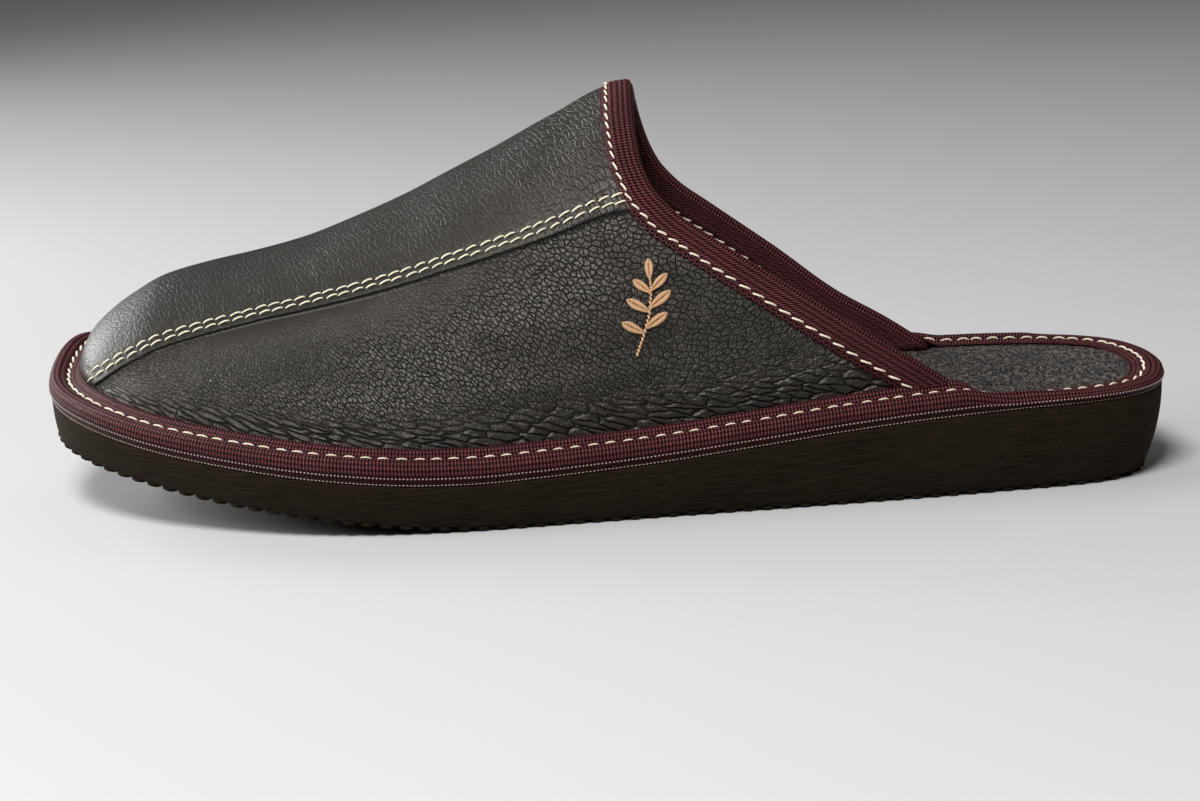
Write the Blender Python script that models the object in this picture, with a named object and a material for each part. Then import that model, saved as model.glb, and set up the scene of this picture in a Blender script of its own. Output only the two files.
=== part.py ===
"""Backless leather house slipper, left foot, five pieces in one frame.

+X points to the toe, +Y to the outer side of the foot, +Z up.  The sole stands on z = 0.
Sizes in the tables are millimetres; meshes are written in metres.
"""
import math

import bmesh
import bpy
import numpy as np

MM = 0.001
GAP = 0.3

PAIRS = 48
DENSE = 2400

TOE_TIP_X = 146.7
TOE_TIP_Y = -18.0
HEEL_TIP_X = -148.4
HEEL_TIP_Y = 3.0

# Plan of the sole edge: one row per section, heel to toe
PLAN_COLUMNS = ("x", "lateral", "medial")
PLAN_ROWS = (
    (-146.0, 16.2, -12.0),
    (-139.6, 24.9, -23.2),
    (-129.0, 30.4, -30.0),
    (-112.0, 33.8, -34.2),
    (-88.0, 37.2, -37.8),
    (-56.0, 40.8, -41.6),
    (-24.0, 43.8, -44.4),
    (8.0, 47.2, -47.4),
    (36.0, 50.2, -50.4),
    (60.0, 50.6, -51.8),
    (82.0, 47.6, -52.0),
    (100.0, 42.0, -51.4),
    (116.0, 34.8, -50.0),
    (128.0, 26.8, -48.0),
    (136.0, 18.8, -45.4),
    (141.4, 10.6, -41.4),
    (145.2, -1.0, -33.0),
)

# Side profile of the foam sole: rise of the underside, thickness, tuck of the lower edge, inner lift
PROFILE_COLUMNS = ("x", "rise", "thick", "tuck", "inner_lift")
PROFILE_ROWS = (
    (-150.0, 0.0, 22.8, 5.0, 0.0),
    (-110.0, 0.0, 22.4, 5.0, 0.0),
    (-88.0, 0.0, 21.6, 4.6, 0.0),
    (-64.0, 0.0, 19.9, 4.4, 0.0),
    (-40.0, 0.0, 17.4, 4.0, 0.0),
    (-13.0, 0.0, 14.8, 3.6, 0.0),
    (10.0, 0.0, 13.4, 3.4, 0.0),
    (22.0, 0.0, 12.9, 3.3, 0.0),
    (40.0, 0.9, 12.1, 3.2, 0.0),
    (62.0, 3.3, 11.3, 3.0, 0.2),
    (88.0, 7.1, 10.7, 2.9, 1.0),
    (116.0, 12.0, 10.0, 2.6, 2.2),
    (134.0, 15.7, 10.0, 1.8, 3.3),
    (149.0, 18.9, 10.6, 1.1, 4.2),
)
SOLE_TOP_INSET = 0.35
SOLE_BARREL_POWER = 2.1
SOLE_SIDE_LEVELS = (0.0, 0.1, 0.3, 0.55, 0.8, 1.0)
REBATE_WIDTH = 8.4
REBATE_DEPTH = 0.9

# Tape folded round the sole edge: inset, height above the foam rim beside the upper and at the heel
TAPE_COLUMNS = ("inset", "height", "heel_height")
TAPE_ROWS = (
    (0.9, 0.3, 0.3),
    (0.25, 1.3, 1.0),
    (0.0, 3.0, 2.1),
    (0.3, 4.8, 3.4),
    (1.3, 6.2, 4.3),
    (3.2, 6.95, 4.75),
    (5.6, 7.0, 4.5),
    (8.0, 6.5, 3.95),
    (8.0, 5.6, 3.3),
    (2.1, 5.6, 3.3),
    (2.1, 0.9, 0.9),
    (8.0, 0.9, 0.9),
    (8.0, 0.3, 0.3),
)
TAPE_CREST = 7.0
HEEL_FALL_START = -97.6
HEEL_FALL_LENGTH = 11.0

INSOLE_EDGE = 2.4
INSOLE_LOW = 1.2
INSOLE_HIGH = 3.0
INSOLE_EASE = 0.5

FLANGE_EDGE = 2.7
FOOT_INSET = 8.6
FOOT_HEIGHT = 5.3
FLANGE_LOW = 3.3
WALL = 2.0
LAP = 1.0
LAP_RAMP = 0.014

# Upper: one row per section, counted back from the toe
UPPER_COLUMNS = ("back", "height", "ridge", "crown", "side", "inner_crown", "inner_side")
UPPER_ROWS = (
    (0.0, 0.0, -18.0, 2.0, 1.9, 2.0, 1.9),
    (2.6, 8.9, -18.6, 2.0, 1.8, 2.0, 1.9),
    (7.6, 14.8, -20.0, 1.9, 1.65, 2.1, 1.9),
    (13.6, 20.1, -21.5, 1.8, 1.5, 2.0, 1.75),
    (22.0, 26.1, -23.5, 1.7, 1.42, 2.0, 1.75),
    (33.0, 30.9, -25.0, 1.62, 1.36, 2.0, 1.75),
    (46.6, 35.6, -26.0, 1.6, 1.35, 2.0, 1.75),
    (60.3, 41.0, -26.0, 1.6, 1.32, 2.0, 1.75),
    (74.3, 47.9, -25.6, 1.6, 1.28, 2.0, 1.75),
    (88.0, 54.8, -25.0, 1.6, 1.25, 2.0, 1.75),
    (101.6, 62.0, -24.0, 1.6, 1.27, 2.0, 1.75),
    (115.6, 68.8, -22.8, 1.6, 1.3, 2.0, 1.75),
    (129.0, 75.1, -21.6, 1.6, 1.34, 2.0, 1.75),
    (147.3, 82.0, -20.0, 1.6, 1.4, 2.0, 1.75),
    (250.0, 83.0, -19.0, 1.6, 1.4, 2.0, 1.75),
)

# Collar edge: share of the section height against its place along the foot, outer and inner side
COLLAR_COLUMNS = ("share", "outer_x", "inner_x")
COLLAR_ROWS = (
    (0.0, -91.0, -87.6),
    (0.07, -83.0, -79.6),
    (0.185, -69.6, -65.4),
    (0.36, -50.2, -49.0),
    (0.54, -30.5, -31.6),
    (0.63, -21.3, -23.2),
    (0.72, -15.2, -17.6),
    (0.82, -12.3, -14.3),
    (0.94, -11.3, -12.0),
    (1.0, -11.3, -11.3),
)

# Lower edge of the lapped top panel as a share of the section height
LAP_COLUMNS = ("back", "share")
LAP_ROWS = (
    (0.0, 0.05),
    (5.0, 0.07),
    (9.0, 0.24),
    (15.0, 0.41),
    (20.5, 0.49),
    (25.6, 0.55),
    (36.0, 0.605),
    (46.6, 0.64),
    (65.0, 0.665),
    (250.0, 0.67),
)

MAIN_ROWS = 25
EDGE_ZONE = 13.0
LAP_FADE_END = 10.0
LAP_FADE_START = 7.4
SIDE_COLUMNS = 10
TOP_COLUMNS = 16
ROW_POWER = 1.7
CENTRE_X = 0.85
CENTRE_Y = 0.63

COLLAR_THICK = 1.0
COLLAR_REACH = 6.6
COLLAR_FOLD = 1.3
MOST_OBLIQUE = 2.2


def column(rows, names, name):
    return np.array([row[names.index(name)] for row in rows], dtype=float)


def tangents(x, y):
    """Shape-keeping slopes at the rows of a table."""
    step = np.diff(x)
    rate = np.diff(y) / step
    slope = np.zeros(len(x))
    slope[0] = rate[0]
    slope[-1] = rate[-1]
    for i in range(1, len(x) - 1):
        if rate[i - 1] * rate[i] > 0.0:
            a = 2.0 * step[i] + step[i - 1]
            b = step[i] + 2.0 * step[i - 1]
            slope[i] = (a + b) / (a / rate[i - 1] + b / rate[i])
    return slope


def curve(x, y, at):
    """Smooth reading of one table column at the given places."""
    at = np.clip(np.asarray(at, dtype=float), x[0], x[-1])
    slope = tangents(x, y)
    i = np.clip(np.searchsorted(x, at) - 1, 0, len(x) - 2)
    h = x[i + 1] - x[i]
    t = (at - x[i]) / h
    a = (1.0 + 2.0 * t) * (1.0 - t) ** 2
    b = t * (1.0 - t) ** 2
    c = t * t * (3.0 - 2.0 * t)
    d = t * t * (t - 1.0)
    return a * y[i] + b * h * slope[i] + c * y[i + 1] + d * h * slope[i + 1]


def read(rows, names, key, name, at):
    return curve(column(rows, names, key), column(rows, names, name), at)


def smooth(value):
    value = np.clip(value, 0.0, 1.0)
    return value * value * (3.0 - 2.0 * value)


def closed_spline(points, count):
    """Periodic cubic through the points, resampled evenly along its length."""
    points = np.asarray(points, dtype=float)
    n = len(points)
    chord = np.hypot(*(np.roll(points, -1, axis=0) - points).T)
    knots = np.concatenate([[0.0], np.cumsum(chord)])
    system = np.zeros((n, n))
    right = np.zeros((n, 2))
    for i in range(n):
        before = chord[i - 1]
        after = chord[i]
        system[i, i - 1] += before
        system[i, i] += 2.0 * (before + after)
        system[i, (i + 1) % n] += after
        ahead = (points[(i + 1) % n] - points[i]) / after
        behind = (points[i] - points[i - 1]) / before
        right[i] = 6.0 * (ahead - behind)
    bend = np.linalg.solve(system, right)
    at = np.linspace(0.0, knots[-1], count * 4, endpoint=False)
    i = np.clip(np.searchsorted(knots, at, side="right") - 1, 0, n - 1)
    j = (i + 1) % n
    h = chord[i][:, None]
    s = (at - knots[i])[:, None]
    r = h - s
    line = (points[i] / h - bend[i] * h / 6.0) * r + (points[j] / h - bend[j] * h / 6.0) * s
    fine = line + bend[i] * r ** 3 / (6.0 * h) + bend[j] * s ** 3 / (6.0 * h)
    return fine


def sole_edge():
    """Closed plan curve of the sole edge, toe tip first, then the lateral side back to the heel."""
    x = column(PLAN_ROWS, PLAN_COLUMNS, "x")
    lateral = column(PLAN_ROWS, PLAN_COLUMNS, "lateral")
    medial = column(PLAN_ROWS, PLAN_COLUMNS, "medial")
    points = [(TOE_TIP_X, TOE_TIP_Y)]
    points += [(x[i], lateral[i]) for i in range(len(x) - 1, -1, -1)]
    points += [(HEEL_TIP_X, HEEL_TIP_Y)]
    points += [(x[i], medial[i]) for i in range(len(x))]
    return closed_spline(points, DENSE)


def outward(line):
    ahead = np.roll(line, -1, axis=0) - np.roll(line, 1, axis=0)
    ahead = ahead / np.hypot(ahead[:, 0], ahead[:, 1])[:, None]
    return np.stack([-ahead[:, 1], ahead[:, 0]], axis=1)


EDGE = sole_edge()
EDGE_OUT = outward(EDGE)
if np.sum(EDGE_OUT * (EDGE - EDGE.mean(axis=0))) < 0.0:
    EDGE_OUT = -EDGE_OUT
HEEL_INDEX = int(np.argmin(EDGE[:, 0]))
TOE_INDEX = int(np.argmax(EDGE[:, 0]))


def branch(side):
    """Indices along one side of the sole edge from the toe to the heel."""
    count = len(EDGE)
    if side == "lateral":
        return np.arange(TOE_INDEX, HEEL_INDEX + (count if HEEL_INDEX < TOE_INDEX else 0) + 1) % count
    stop = HEEL_INDEX - (count if HEEL_INDEX > TOE_INDEX else 0)
    return np.arange(TOE_INDEX, stop - 1, -1) % count


LATERAL = branch("lateral")
MEDIAL = branch("medial")


def spread(indices, count):
    """Even steps of length along a branch of the sole edge."""
    line = EDGE[indices]
    length = np.concatenate([[0.0], np.cumsum(np.hypot(*np.diff(line, axis=0).T))])
    want = np.linspace(0.0, length[-1], count + 1)
    return indices[np.clip(np.searchsorted(length, want), 0, len(indices) - 1)]


LOOP = np.concatenate([spread(LATERAL, PAIRS), spread(MEDIAL, PAIRS)[-2:0:-1]])


def rise(x, y):
    base = read(PROFILE_ROWS, PROFILE_COLUMNS, "x", "rise", x)
    lift = read(PROFILE_ROWS, PROFILE_COLUMNS, "x", "inner_lift", x)
    return base + lift * smooth(-np.asarray(y) / 40.0)


def rim(x, y):
    """Height of the foam's upper rim."""
    return rise(x, y) + read(PROFILE_ROWS, PROFILE_COLUMNS, "x", "thick", x)


def inset_loop(inset):
    return EDGE[LOOP] - EDGE_OUT[LOOP] * np.asarray(inset, dtype=float).reshape(-1, 1)


def with_height(plan, height):
    return np.column_stack([plan, height])


def tape_height(row, x):
    """Height of one row of the tape section, lower round the bare heel."""
    fall = smooth((HEEL_FALL_START - np.asarray(x)) / HEEL_FALL_LENGTH)
    return row[1] + (row[2] - row[1]) * fall


class Mesh:
    """Vertices and faces gathered before they become one object."""

    def __init__(self):
        self.points = []
        self.faces = []

    def add(self, points):
        start = len(self.points)
        self.points.extend([tuple(p) for p in points])
        return list(range(start, start + len(points)))

    def quads(self, first, second, closed):
        count = len(first)
        for i in range(count if closed else count - 1):
            j = (i + 1) % count
            self.face((first[i], first[j], second[j], second[i]))

    def face(self, corners):
        clean = []
        for c in corners:
            if not clean or c != clean[-1]:
                clean.append(c)
        if len(clean) > 1 and clean[0] == clean[-1]:
            clean.pop()
        if len(clean) > 2:
            self.faces.append(tuple(clean))

    def cap(self, loop, up):
        """Close a loop by strips between its two sides."""
        half = len(loop) // 2
        for k in range(half):
            a, b = loop[k], loop[k + 1]
            c, d = loop[-k - 1] if k < half - 1 else loop[half], loop[-k] if k else loop[0]
            strip = (a, b, c, d)
            self.face(strip if up else strip[::-1])


def make_object(name, mesh, colour, roughness, crease_deg):
    data = bpy.data.meshes.new(name)
    points = (np.array(mesh.points) + np.array([CENTRE_X, CENTRE_Y, 0.0])) * MM
    data.from_pydata([tuple(p) for p in points], [], mesh.faces)
    data.validate()
    data.update()
    item = bpy.data.objects.new(name, data)
    bpy.context.scene.collection.objects.link(item)
    work = bmesh.new()
    work.from_mesh(data)
    bmesh.ops.triangulate(work, faces=work.faces[:])
    bmesh.ops.recalc_face_normals(work, faces=work.faces[:])
    limit = math.radians(crease_deg)
    for edge in work.edges:
        edge.smooth = len(edge.link_faces) == 2 and edge.calc_face_angle(0.0) < limit
    for face in work.faces:
        face.smooth = True
    work.to_mesh(data)
    work.free()
    paint = bpy.data.materials.new(name)
    paint.use_nodes = True
    shader = paint.node_tree.nodes["Principled BSDF"]
    shader.inputs["Base Color"].default_value = (colour[0], colour[1], colour[2], 1.0)
    shader.inputs["Roughness"].default_value = roughness
    data.materials.append(paint)
    return item


def build_outsole():
    mesh = Mesh()
    loops = []
    x = EDGE[LOOP][:, 0]
    tuck = read(PROFILE_ROWS, PROFILE_COLUMNS, "x", "tuck", x)
    for level in SOLE_SIDE_LEVELS:
        inset = SOLE_TOP_INSET + (tuck - SOLE_TOP_INSET) * (1.0 - level) ** SOLE_BARREL_POWER
        plan = inset_loop(inset)
        low = rise(plan[:, 0], plan[:, 1])
        high = rim(plan[:, 0], plan[:, 1])
        loops.append(mesh.add(with_height(plan, low + (high - low) * level)))
    step = inset_loop(np.full(len(LOOP), REBATE_WIDTH))
    foot = rim(step[:, 0], step[:, 1])
    loops.append(mesh.add(with_height(step, foot)))
    loops.append(mesh.add(with_height(step, foot + REBATE_DEPTH)))
    for low, high in zip(loops[:-1], loops[1:]):
        mesh.quads(low, high, True)
    mesh.cap(loops[0], False)
    mesh.cap(loops[-1], True)
    return make_object("outsole", mesh, (0.026, 0.018, 0.012), 0.85, 40.0)


def build_insole():
    mesh = Mesh()
    loops = []
    ring = (
        (REBATE_WIDTH, INSOLE_LOW),
        (INSOLE_EDGE, INSOLE_LOW),
        (INSOLE_EDGE, INSOLE_HIGH - INSOLE_EASE),
        (INSOLE_EDGE + INSOLE_EASE, INSOLE_HIGH),
        (REBATE_WIDTH, INSOLE_HIGH),
    )
    for inset, height in ring:
        plan = inset_loop(np.full(len(LOOP), inset))
        loops.append(mesh.add(with_height(plan, rim(plan[:, 0], plan[:, 1]) + height)))
    for low, high in zip(loops[:-1], loops[1:]):
        mesh.quads(low, high, True)
    mesh.cap(loops[0], False)
    mesh.cap(loops[-1], True)
    return make_object("insole", mesh, (0.020, 0.019, 0.018), 0.6, 40.0)


def build_sole_binding():
    mesh = Mesh()
    loops = []
    for row in TAPE_ROWS:
        plan = inset_loop(np.full(len(LOOP), row[0]))
        height = tape_height(row, EDGE[LOOP][:, 0])
        loops.append(mesh.add(with_height(plan, rim(plan[:, 0], plan[:, 1]) + height)))
    for low, high in zip(loops, loops[1:] + loops[:1]):
        mesh.quads(low, high, True)
    return make_object("sole_binding", mesh, (0.075, 0.018, 0.022), 0.8, 50.0)


FOOT = EDGE - EDGE_OUT * FOOT_INSET
POLE = FOOT[TOE_INDEX]


def foot_line(side, x):
    """Across-place of the upper's lower edge on one side."""
    line = FOOT[LATERAL if side == "lateral" else MEDIAL]
    order = np.maximum.accumulate(-line[:, 0])
    return np.interp(-np.asarray(x), order, line[:, 1])


def upper_point(x, angle, side):
    """Mid shape of the upper: place along the foot and angle from its lower edge to the ridge."""
    back = np.sqrt(np.maximum(POLE[0] - x, 0.0))
    keys = np.sqrt(column(UPPER_ROWS, UPPER_COLUMNS, "back"))

    def value(name):
        return curve(keys, column(UPPER_ROWS, UPPER_COLUMNS, name), back)

    ridge = value("ridge") + (POLE[1] - TOE_TIP_Y) * np.exp(-back)
    crown = value("crown" if side == "lateral" else "inner_crown")
    flank = value("side" if side == "lateral" else "inner_side")
    edge = foot_line(side, x)
    base = rim(x, edge) + FOOT_HEIGHT
    top = rim(x, ridge) + FOOT_HEIGHT + value("height")
    out = np.maximum(np.cos(angle), 0.0) ** (2.0 / crown)
    high = np.maximum(np.sin(angle), 0.0) ** (2.0 / flank)
    return np.stack([x + 0.0 * high, ridge + (edge - ridge) * out, base + (top - base) * high], axis=-1)


def lap_angle(x, side):
    """Angle at which the top panel's edge lies in a section."""
    back = np.maximum(POLE[0] - x, 0.0)
    root = np.sqrt(back)
    keys = np.sqrt(column(LAP_ROWS, LAP_COLUMNS, "back"))
    share = curve(keys, column(LAP_ROWS, LAP_COLUMNS, "share"), root)
    name = "side" if side == "lateral" else "inner_side"
    rows = np.sqrt(column(UPPER_ROWS, UPPER_COLUMNS, "back"))
    flank = curve(rows, column(UPPER_ROWS, UPPER_COLUMNS, name), root)
    return np.arcsin(share ** (flank / 2.0))


def collar_x(angle, side):
    rear = UPPER_ROWS[-1][UPPER_COLUMNS.index("side" if side == "lateral" else "inner_side")]
    share = np.sin(angle) ** (2.0 / rear)
    return read(COLLAR_ROWS, COLLAR_COLUMNS, "share", "outer_x" if side == "lateral" else "inner_x", share)


def upper_columns():
    """Side, place between lower edge, lap edge and ridge, and lap share of every column."""
    found = []
    for k in range(SIDE_COLUMNS + 1):
        found.append(("lateral", "flank", k / SIDE_COLUMNS, 0.0))
    half = TOP_COLUMNS // 2
    for k in range(half + 1):
        found.append(("lateral", "crown", k / half, 1.0))
    for k in range(half - 1, -1, -1):
        found.append(("medial", "crown", k / half, 1.0))
    for k in range(SIDE_COLUMNS, -1, -1):
        found.append(("medial", "flank", k / SIDE_COLUMNS, 0.0))
    return found


def column_angle(kind, share, x, side):
    edge = lap_angle(x, side)
    if kind == "flank":
        return edge * share
    start = edge + LAP_RAMP
    return start + (math.pi / 2.0 - start) * share


def edge_steps():
    return np.array([LAP_FADE_END, LAP_FADE_START, COLLAR_REACH, COLLAR_REACH / 2.0, 0.0])


def upper_grid():
    """Mid shape of the outer surface, rows from the toe to the collar, and the slant of each column."""
    columns = upper_columns()
    rear = np.array(HEEL_FALL_START)
    stop = []
    edge = []
    ahead = []
    for side, kind, share, lap in columns:
        angle = column_angle(kind, share, rear, side)
        x = collar_x(angle, side)
        stop.append(float(x))
        edge.append(upper_point(x, column_angle(kind, share, x, side), side))
        ahead.append(upper_point(x + 1.0, column_angle(kind, share, x + 1.0, side), side))
    edge = np.array(edge)
    run = np.gradient(edge, axis=0)
    run = run / np.linalg.norm(run, axis=1)[:, None]
    way = np.array(ahead) - edge
    way = way / np.linalg.norm(way, axis=1)[:, None]
    slant = np.minimum(1.0 / np.linalg.norm(np.cross(run, way), axis=1), MOST_OBLIQUE)
    main = (np.arange(MAIN_ROWS) / (MAIN_ROWS - 1.0)) ** ROW_POWER
    points = np.zeros((MAIN_ROWS + len(edge_steps()), len(columns), 3))
    for c, (side, kind, share, lap) in enumerate(columns):
        total = POLE[0] - stop[c]
        back = np.concatenate([(total - EDGE_ZONE * slant[c]) * main, total - edge_steps() * slant[c]])
        x = POLE[0] - back
        points[:, c] = upper_point(x, column_angle(kind, share, x, side), side)
    return columns, points, slant


def surface_normals(points):
    along = np.gradient(points, axis=0)
    across = np.gradient(points, axis=1)
    normal = np.cross(across, along)
    normal = normal / np.maximum(np.linalg.norm(normal, axis=2, keepdims=True), 1e-9)
    if normal[len(normal) // 2, points.shape[1] // 2, 2] < 0.0:
        normal = -normal
    normal[0] = (1.0, 0.0, 0.0)
    return normal


def flange_edge(x, side):
    """Outer edge of the turned-out foot of the upper opposite a place on its foot line."""
    index = LATERAL if side == "lateral" else MEDIAL
    order = np.maximum.accumulate(-FOOT[index][:, 0])
    line = (EDGE - EDGE_OUT * FLANGE_EDGE)[index]
    return np.stack([np.interp(-x, order, line[:, 0]), np.interp(-x, order, line[:, 1])], axis=-1)


def build_upper():
    columns, base, slant = upper_grid()
    normal = surface_normals(base)
    lap = np.array([c[3] for c in columns])[None, :]
    foot = 0.5 * (base[:, :1, 2] + base[:, -1:, 2])
    above = smooth((base[:, :, 2] - foot - 1.6) / 2.4)
    to_edge = np.linalg.norm(base - base[-1:], axis=2) / slant[None, :]
    clear = smooth((to_edge - LAP_FADE_START) / (LAP_FADE_END - LAP_FADE_START))
    outer = base + normal * (LAP * lap * above * clear)[:, :, None]
    inner = base - normal * WALL
    outer[0] = base[0]
    inner[0] = base[0] - np.array([WALL, 0.0, 0.0])
    drop = FOOT_HEIGHT - FLANGE_LOW
    chains = []
    for points, lower in ((outer, 0.0), (inner, drop)):
        ends = []
        for c, side in ((0, "lateral"), (-1, "medial")):
            plan = flange_edge(base[:, c, 0], side)
            ends.append(np.column_stack([plan, rim(plan[:, 0], plan[:, 1]) + FOOT_HEIGHT - lower]))
            points[:, c, 2] = base[:, c, 2] - lower
        if lower:
            floor = np.minimum(base[:, :1, 2], base[:, -1:, 2]) - lower
            points[:, 1:-1, 2] = np.maximum(points[:, 1:-1, 2], floor + 0.2)
            points[0, :, 2] = base[0, 0, 2] - lower
        chains.append(np.concatenate([ends[0][:, None], points, ends[1][:, None]], axis=1))
    mesh = Mesh()
    sheets = []
    for chain in chains:
        lip = mesh.add([chain[0, 0]])
        pole = mesh.add([chain[0, 1]])
        rows = [lip + pole * len(columns) + lip]
        for points in chain[1:]:
            rows.append(mesh.add(points))
        sheets.append(rows)
    outer_rows, inner_rows = sheets
    for r in range(len(outer_rows) - 1):
        mesh.quads(outer_rows[r], outer_rows[r + 1], False)
        mesh.quads(inner_rows[r + 1], inner_rows[r], False)
        for c in (0, len(columns) + 1):
            mesh.face((outer_rows[r][c], outer_rows[r + 1][c], inner_rows[r + 1][c], inner_rows[r][c]))
    mesh.quads(outer_rows[-1], inner_rows[-1], False)
    return make_object("upper", mesh, (0.022, 0.021, 0.020), 0.5, 45.0)


def collar_rings():
    """Closed section of the collar tape at every column of the upper."""
    columns, base, slant = upper_grid()
    normal = surface_normals(base)
    edge = base[-1]
    out = normal[-1]
    run = np.gradient(edge, axis=0)
    beyond = np.cross(out, run)
    beyond = beyond / np.linalg.norm(beyond, axis=1)[:, None]
    beyond = np.where(beyond[:, :1] > 0.0, -beyond, beyond)
    far = GAP + COLLAR_THICK
    middle = edge - out * (WALL / 2.0)
    bulge = (WALL / 2.0 + far) * 0.62

    def outer(row, rise_by):
        return base[row] + normal[row] * rise_by

    def inner(row, rise_by):
        return base[row] - normal[row] * (WALL + rise_by)

    return np.stack([
        outer(-3, GAP),
        outer(-3, far),
        outer(-2, far),
        outer(-1, far) + beyond * 0.2,
        middle + beyond * COLLAR_FOLD * 0.77 + out * bulge,
        middle + beyond * COLLAR_FOLD,
        middle + beyond * COLLAR_FOLD * 0.77 - out * bulge,
        inner(-1, far) + beyond * 0.2,
        inner(-2, far),
        inner(-3, far),
        inner(-3, GAP),
        inner(-2, GAP),
        inner(-1, GAP) + beyond * GAP,
        outer(-1, GAP) + beyond * GAP,
        outer(-2, GAP),
    ], axis=1)


def edge_inset(points):
    """Distance in plan from the sole edge."""
    apart = points[:, None, :2] - EDGE[None, ::4, :]
    return np.sqrt(np.min(np.sum(apart * apart, axis=2), axis=1))


def collar_floor(ring):
    """Lowest height the tape may reach, over the sole binding or inside it over the insole."""
    over_binding = edge_inset(ring) < FOOT_INSET + 0.8
    return rim(ring[:, 0], ring[:, 1]) + np.where(over_binding, TAPE_CREST + GAP, INSOLE_HIGH + GAP)


def build_collar_binding():
    rings = collar_rings()
    kept = [bool(np.all(ring[:, 2] > collar_floor(ring) + 0.4)) for ring in rings]
    first = kept.index(True)
    last = len(kept) - 1 - kept[::-1].index(True)
    ends = []
    for at, lower in ((first, first - 1), (last, last + 1)):
        above = rings[at]
        run = rings[lower] - above
        place = above
        for turn in range(6):
            share = (collar_floor(place) - above[:, 2]) / np.minimum(run[:, 2], -0.2)
            place = above + run * share[:, None]
        ends.append(place)
    chain = [ends[0]] + [rings[k] for k in range(first, last + 1)] + [ends[1]]
    mesh = Mesh()
    loops = [mesh.add(ring) for ring in chain]
    for low, high in zip(loops[:-1], loops[1:]):
        mesh.quads(low, high, True)
    mesh.face(loops[0][::-1])
    mesh.face(loops[-1])
    return make_object("collar_binding", mesh, (0.075, 0.018, 0.022), 0.8, 50.0)


def main():
    for item in list(bpy.data.objects):
        bpy.data.objects.remove(item, do_unlink=True)
    build_outsole()
    build_insole()
    build_sole_binding()
    build_upper()
    build_collar_binding()


main()
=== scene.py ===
"""Visual model of a backless leather house slipper for the left foot.

+X points to the toe, +Y to the outer side of the foot, +Z up.  Tables are in millimetres.
"""
import math

import bmesh
import bpy
import numpy as np
from mathutils import Matrix, Vector


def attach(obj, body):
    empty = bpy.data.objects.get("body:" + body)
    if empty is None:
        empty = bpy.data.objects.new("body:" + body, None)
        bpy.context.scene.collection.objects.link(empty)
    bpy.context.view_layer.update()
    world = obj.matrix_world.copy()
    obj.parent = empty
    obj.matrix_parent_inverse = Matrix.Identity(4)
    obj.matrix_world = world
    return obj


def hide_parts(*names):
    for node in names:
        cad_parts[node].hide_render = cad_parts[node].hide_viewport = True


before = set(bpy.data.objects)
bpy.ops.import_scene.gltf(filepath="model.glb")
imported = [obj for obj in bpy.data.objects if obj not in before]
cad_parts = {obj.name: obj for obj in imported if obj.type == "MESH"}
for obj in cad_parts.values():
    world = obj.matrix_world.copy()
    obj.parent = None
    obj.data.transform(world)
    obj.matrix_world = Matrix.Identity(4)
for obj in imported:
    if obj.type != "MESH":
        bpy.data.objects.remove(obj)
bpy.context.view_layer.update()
RNG = np.random.default_rng(11)

MM = 0.001
UPRIGHT = math.pi / 2
SIDES = ("lateral", "medial")
SIGN = {"lateral": 1, "medial": -1}
CENTRE = np.array([0.85, 0.63, 0])


def tangents(x, y):
    """Shape-keeping slopes at the rows of a table."""
    step = np.diff(x)
    rate = np.diff(y) / step
    slope = np.concatenate([rate[:1], np.zeros(len(x) - 2), rate[-1:]])
    for i in range(1, len(x) - 1):
        if rate[i - 1] * rate[i] > 0:
            a = 2 * step[i] + step[i - 1]
            b = step[i] + 2 * step[i - 1]
            slope[i] = (a + b) / (a / rate[i - 1] + b / rate[i])
    return slope


def curve(x, y, at):
    """Smooth reading of one table column at the given places."""
    at = np.clip(np.asarray(at, dtype=float), x[0], x[-1])
    slope = tangents(x, y)
    i = np.clip(np.searchsorted(x, at) - 1, 0, len(x) - 2)
    h = x[i + 1] - x[i]
    t = (at - x[i]) / h
    a = (1 + 2 * t) * (1 - t) ** 2
    b = t * (1 - t) ** 2
    c = t * t * (3 - 2 * t)
    d = t * t * (t - 1)
    return a * y[i] + b * h * slope[i] + c * y[i + 1] + d * h * slope[i + 1]


def through(places, count):
    """Smooth line through a few places."""
    places = np.array(places, dtype=float)
    key = np.arange(len(places), dtype=float)
    at = np.linspace(0, key[-1], count)
    return np.stack([curve(key, row, at) for row in places.T], axis=-1)


def smooth(value):
    value = np.clip(value, 0, 1)
    return value * value * (3 - 2 * value)


def unit(vectors):
    return vectors / np.maximum(np.linalg.norm(vectors, axis=-1, keepdims=True), 1e-9)


def dot(a, b):
    return np.sum(a * b, axis=-1)


def lengths(points):
    """Length along a polyline at each of its points."""
    step = np.linalg.norm(np.diff(points, axis=0), axis=1)
    return np.concatenate([[0], np.cumsum(step)])


def along(points, at):
    """Places at given lengths along a polyline, one column after the other."""
    run = lengths(points[:, :3])
    return np.stack([np.interp(at, run, row) for row in points.T], axis=-1)


def even(total, pitch, first=0.5):
    """Even steps along a length, near a pitch."""
    count = int(total / pitch)
    return (np.arange(count) + first) * total / count


def follow(path, ups, at):
    """Centres and directions ahead, sideways and up at given lengths along a path."""
    data = along(np.concatenate([path, ups], axis=1), at)
    up = unit(data[..., 3:])
    ahead = unit(np.gradient(data[..., :3], axis=-2))
    return data[..., :3], ahead, np.cross(up, ahead), up


def closed(rows, axis=0):
    """Rows with the first one again at the end."""
    return np.concatenate([rows, np.take(rows, [0], axis)], axis)


def halves(ring):
    """Outer and inner half of a closed ring, both from the toe to the heel."""
    count = len(ring) // 2 + 1
    return ring[:count], ring[::-1][:count]


def flat_map(run, across):
    return np.stack(np.meshgrid(run, across), axis=-1)


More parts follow.
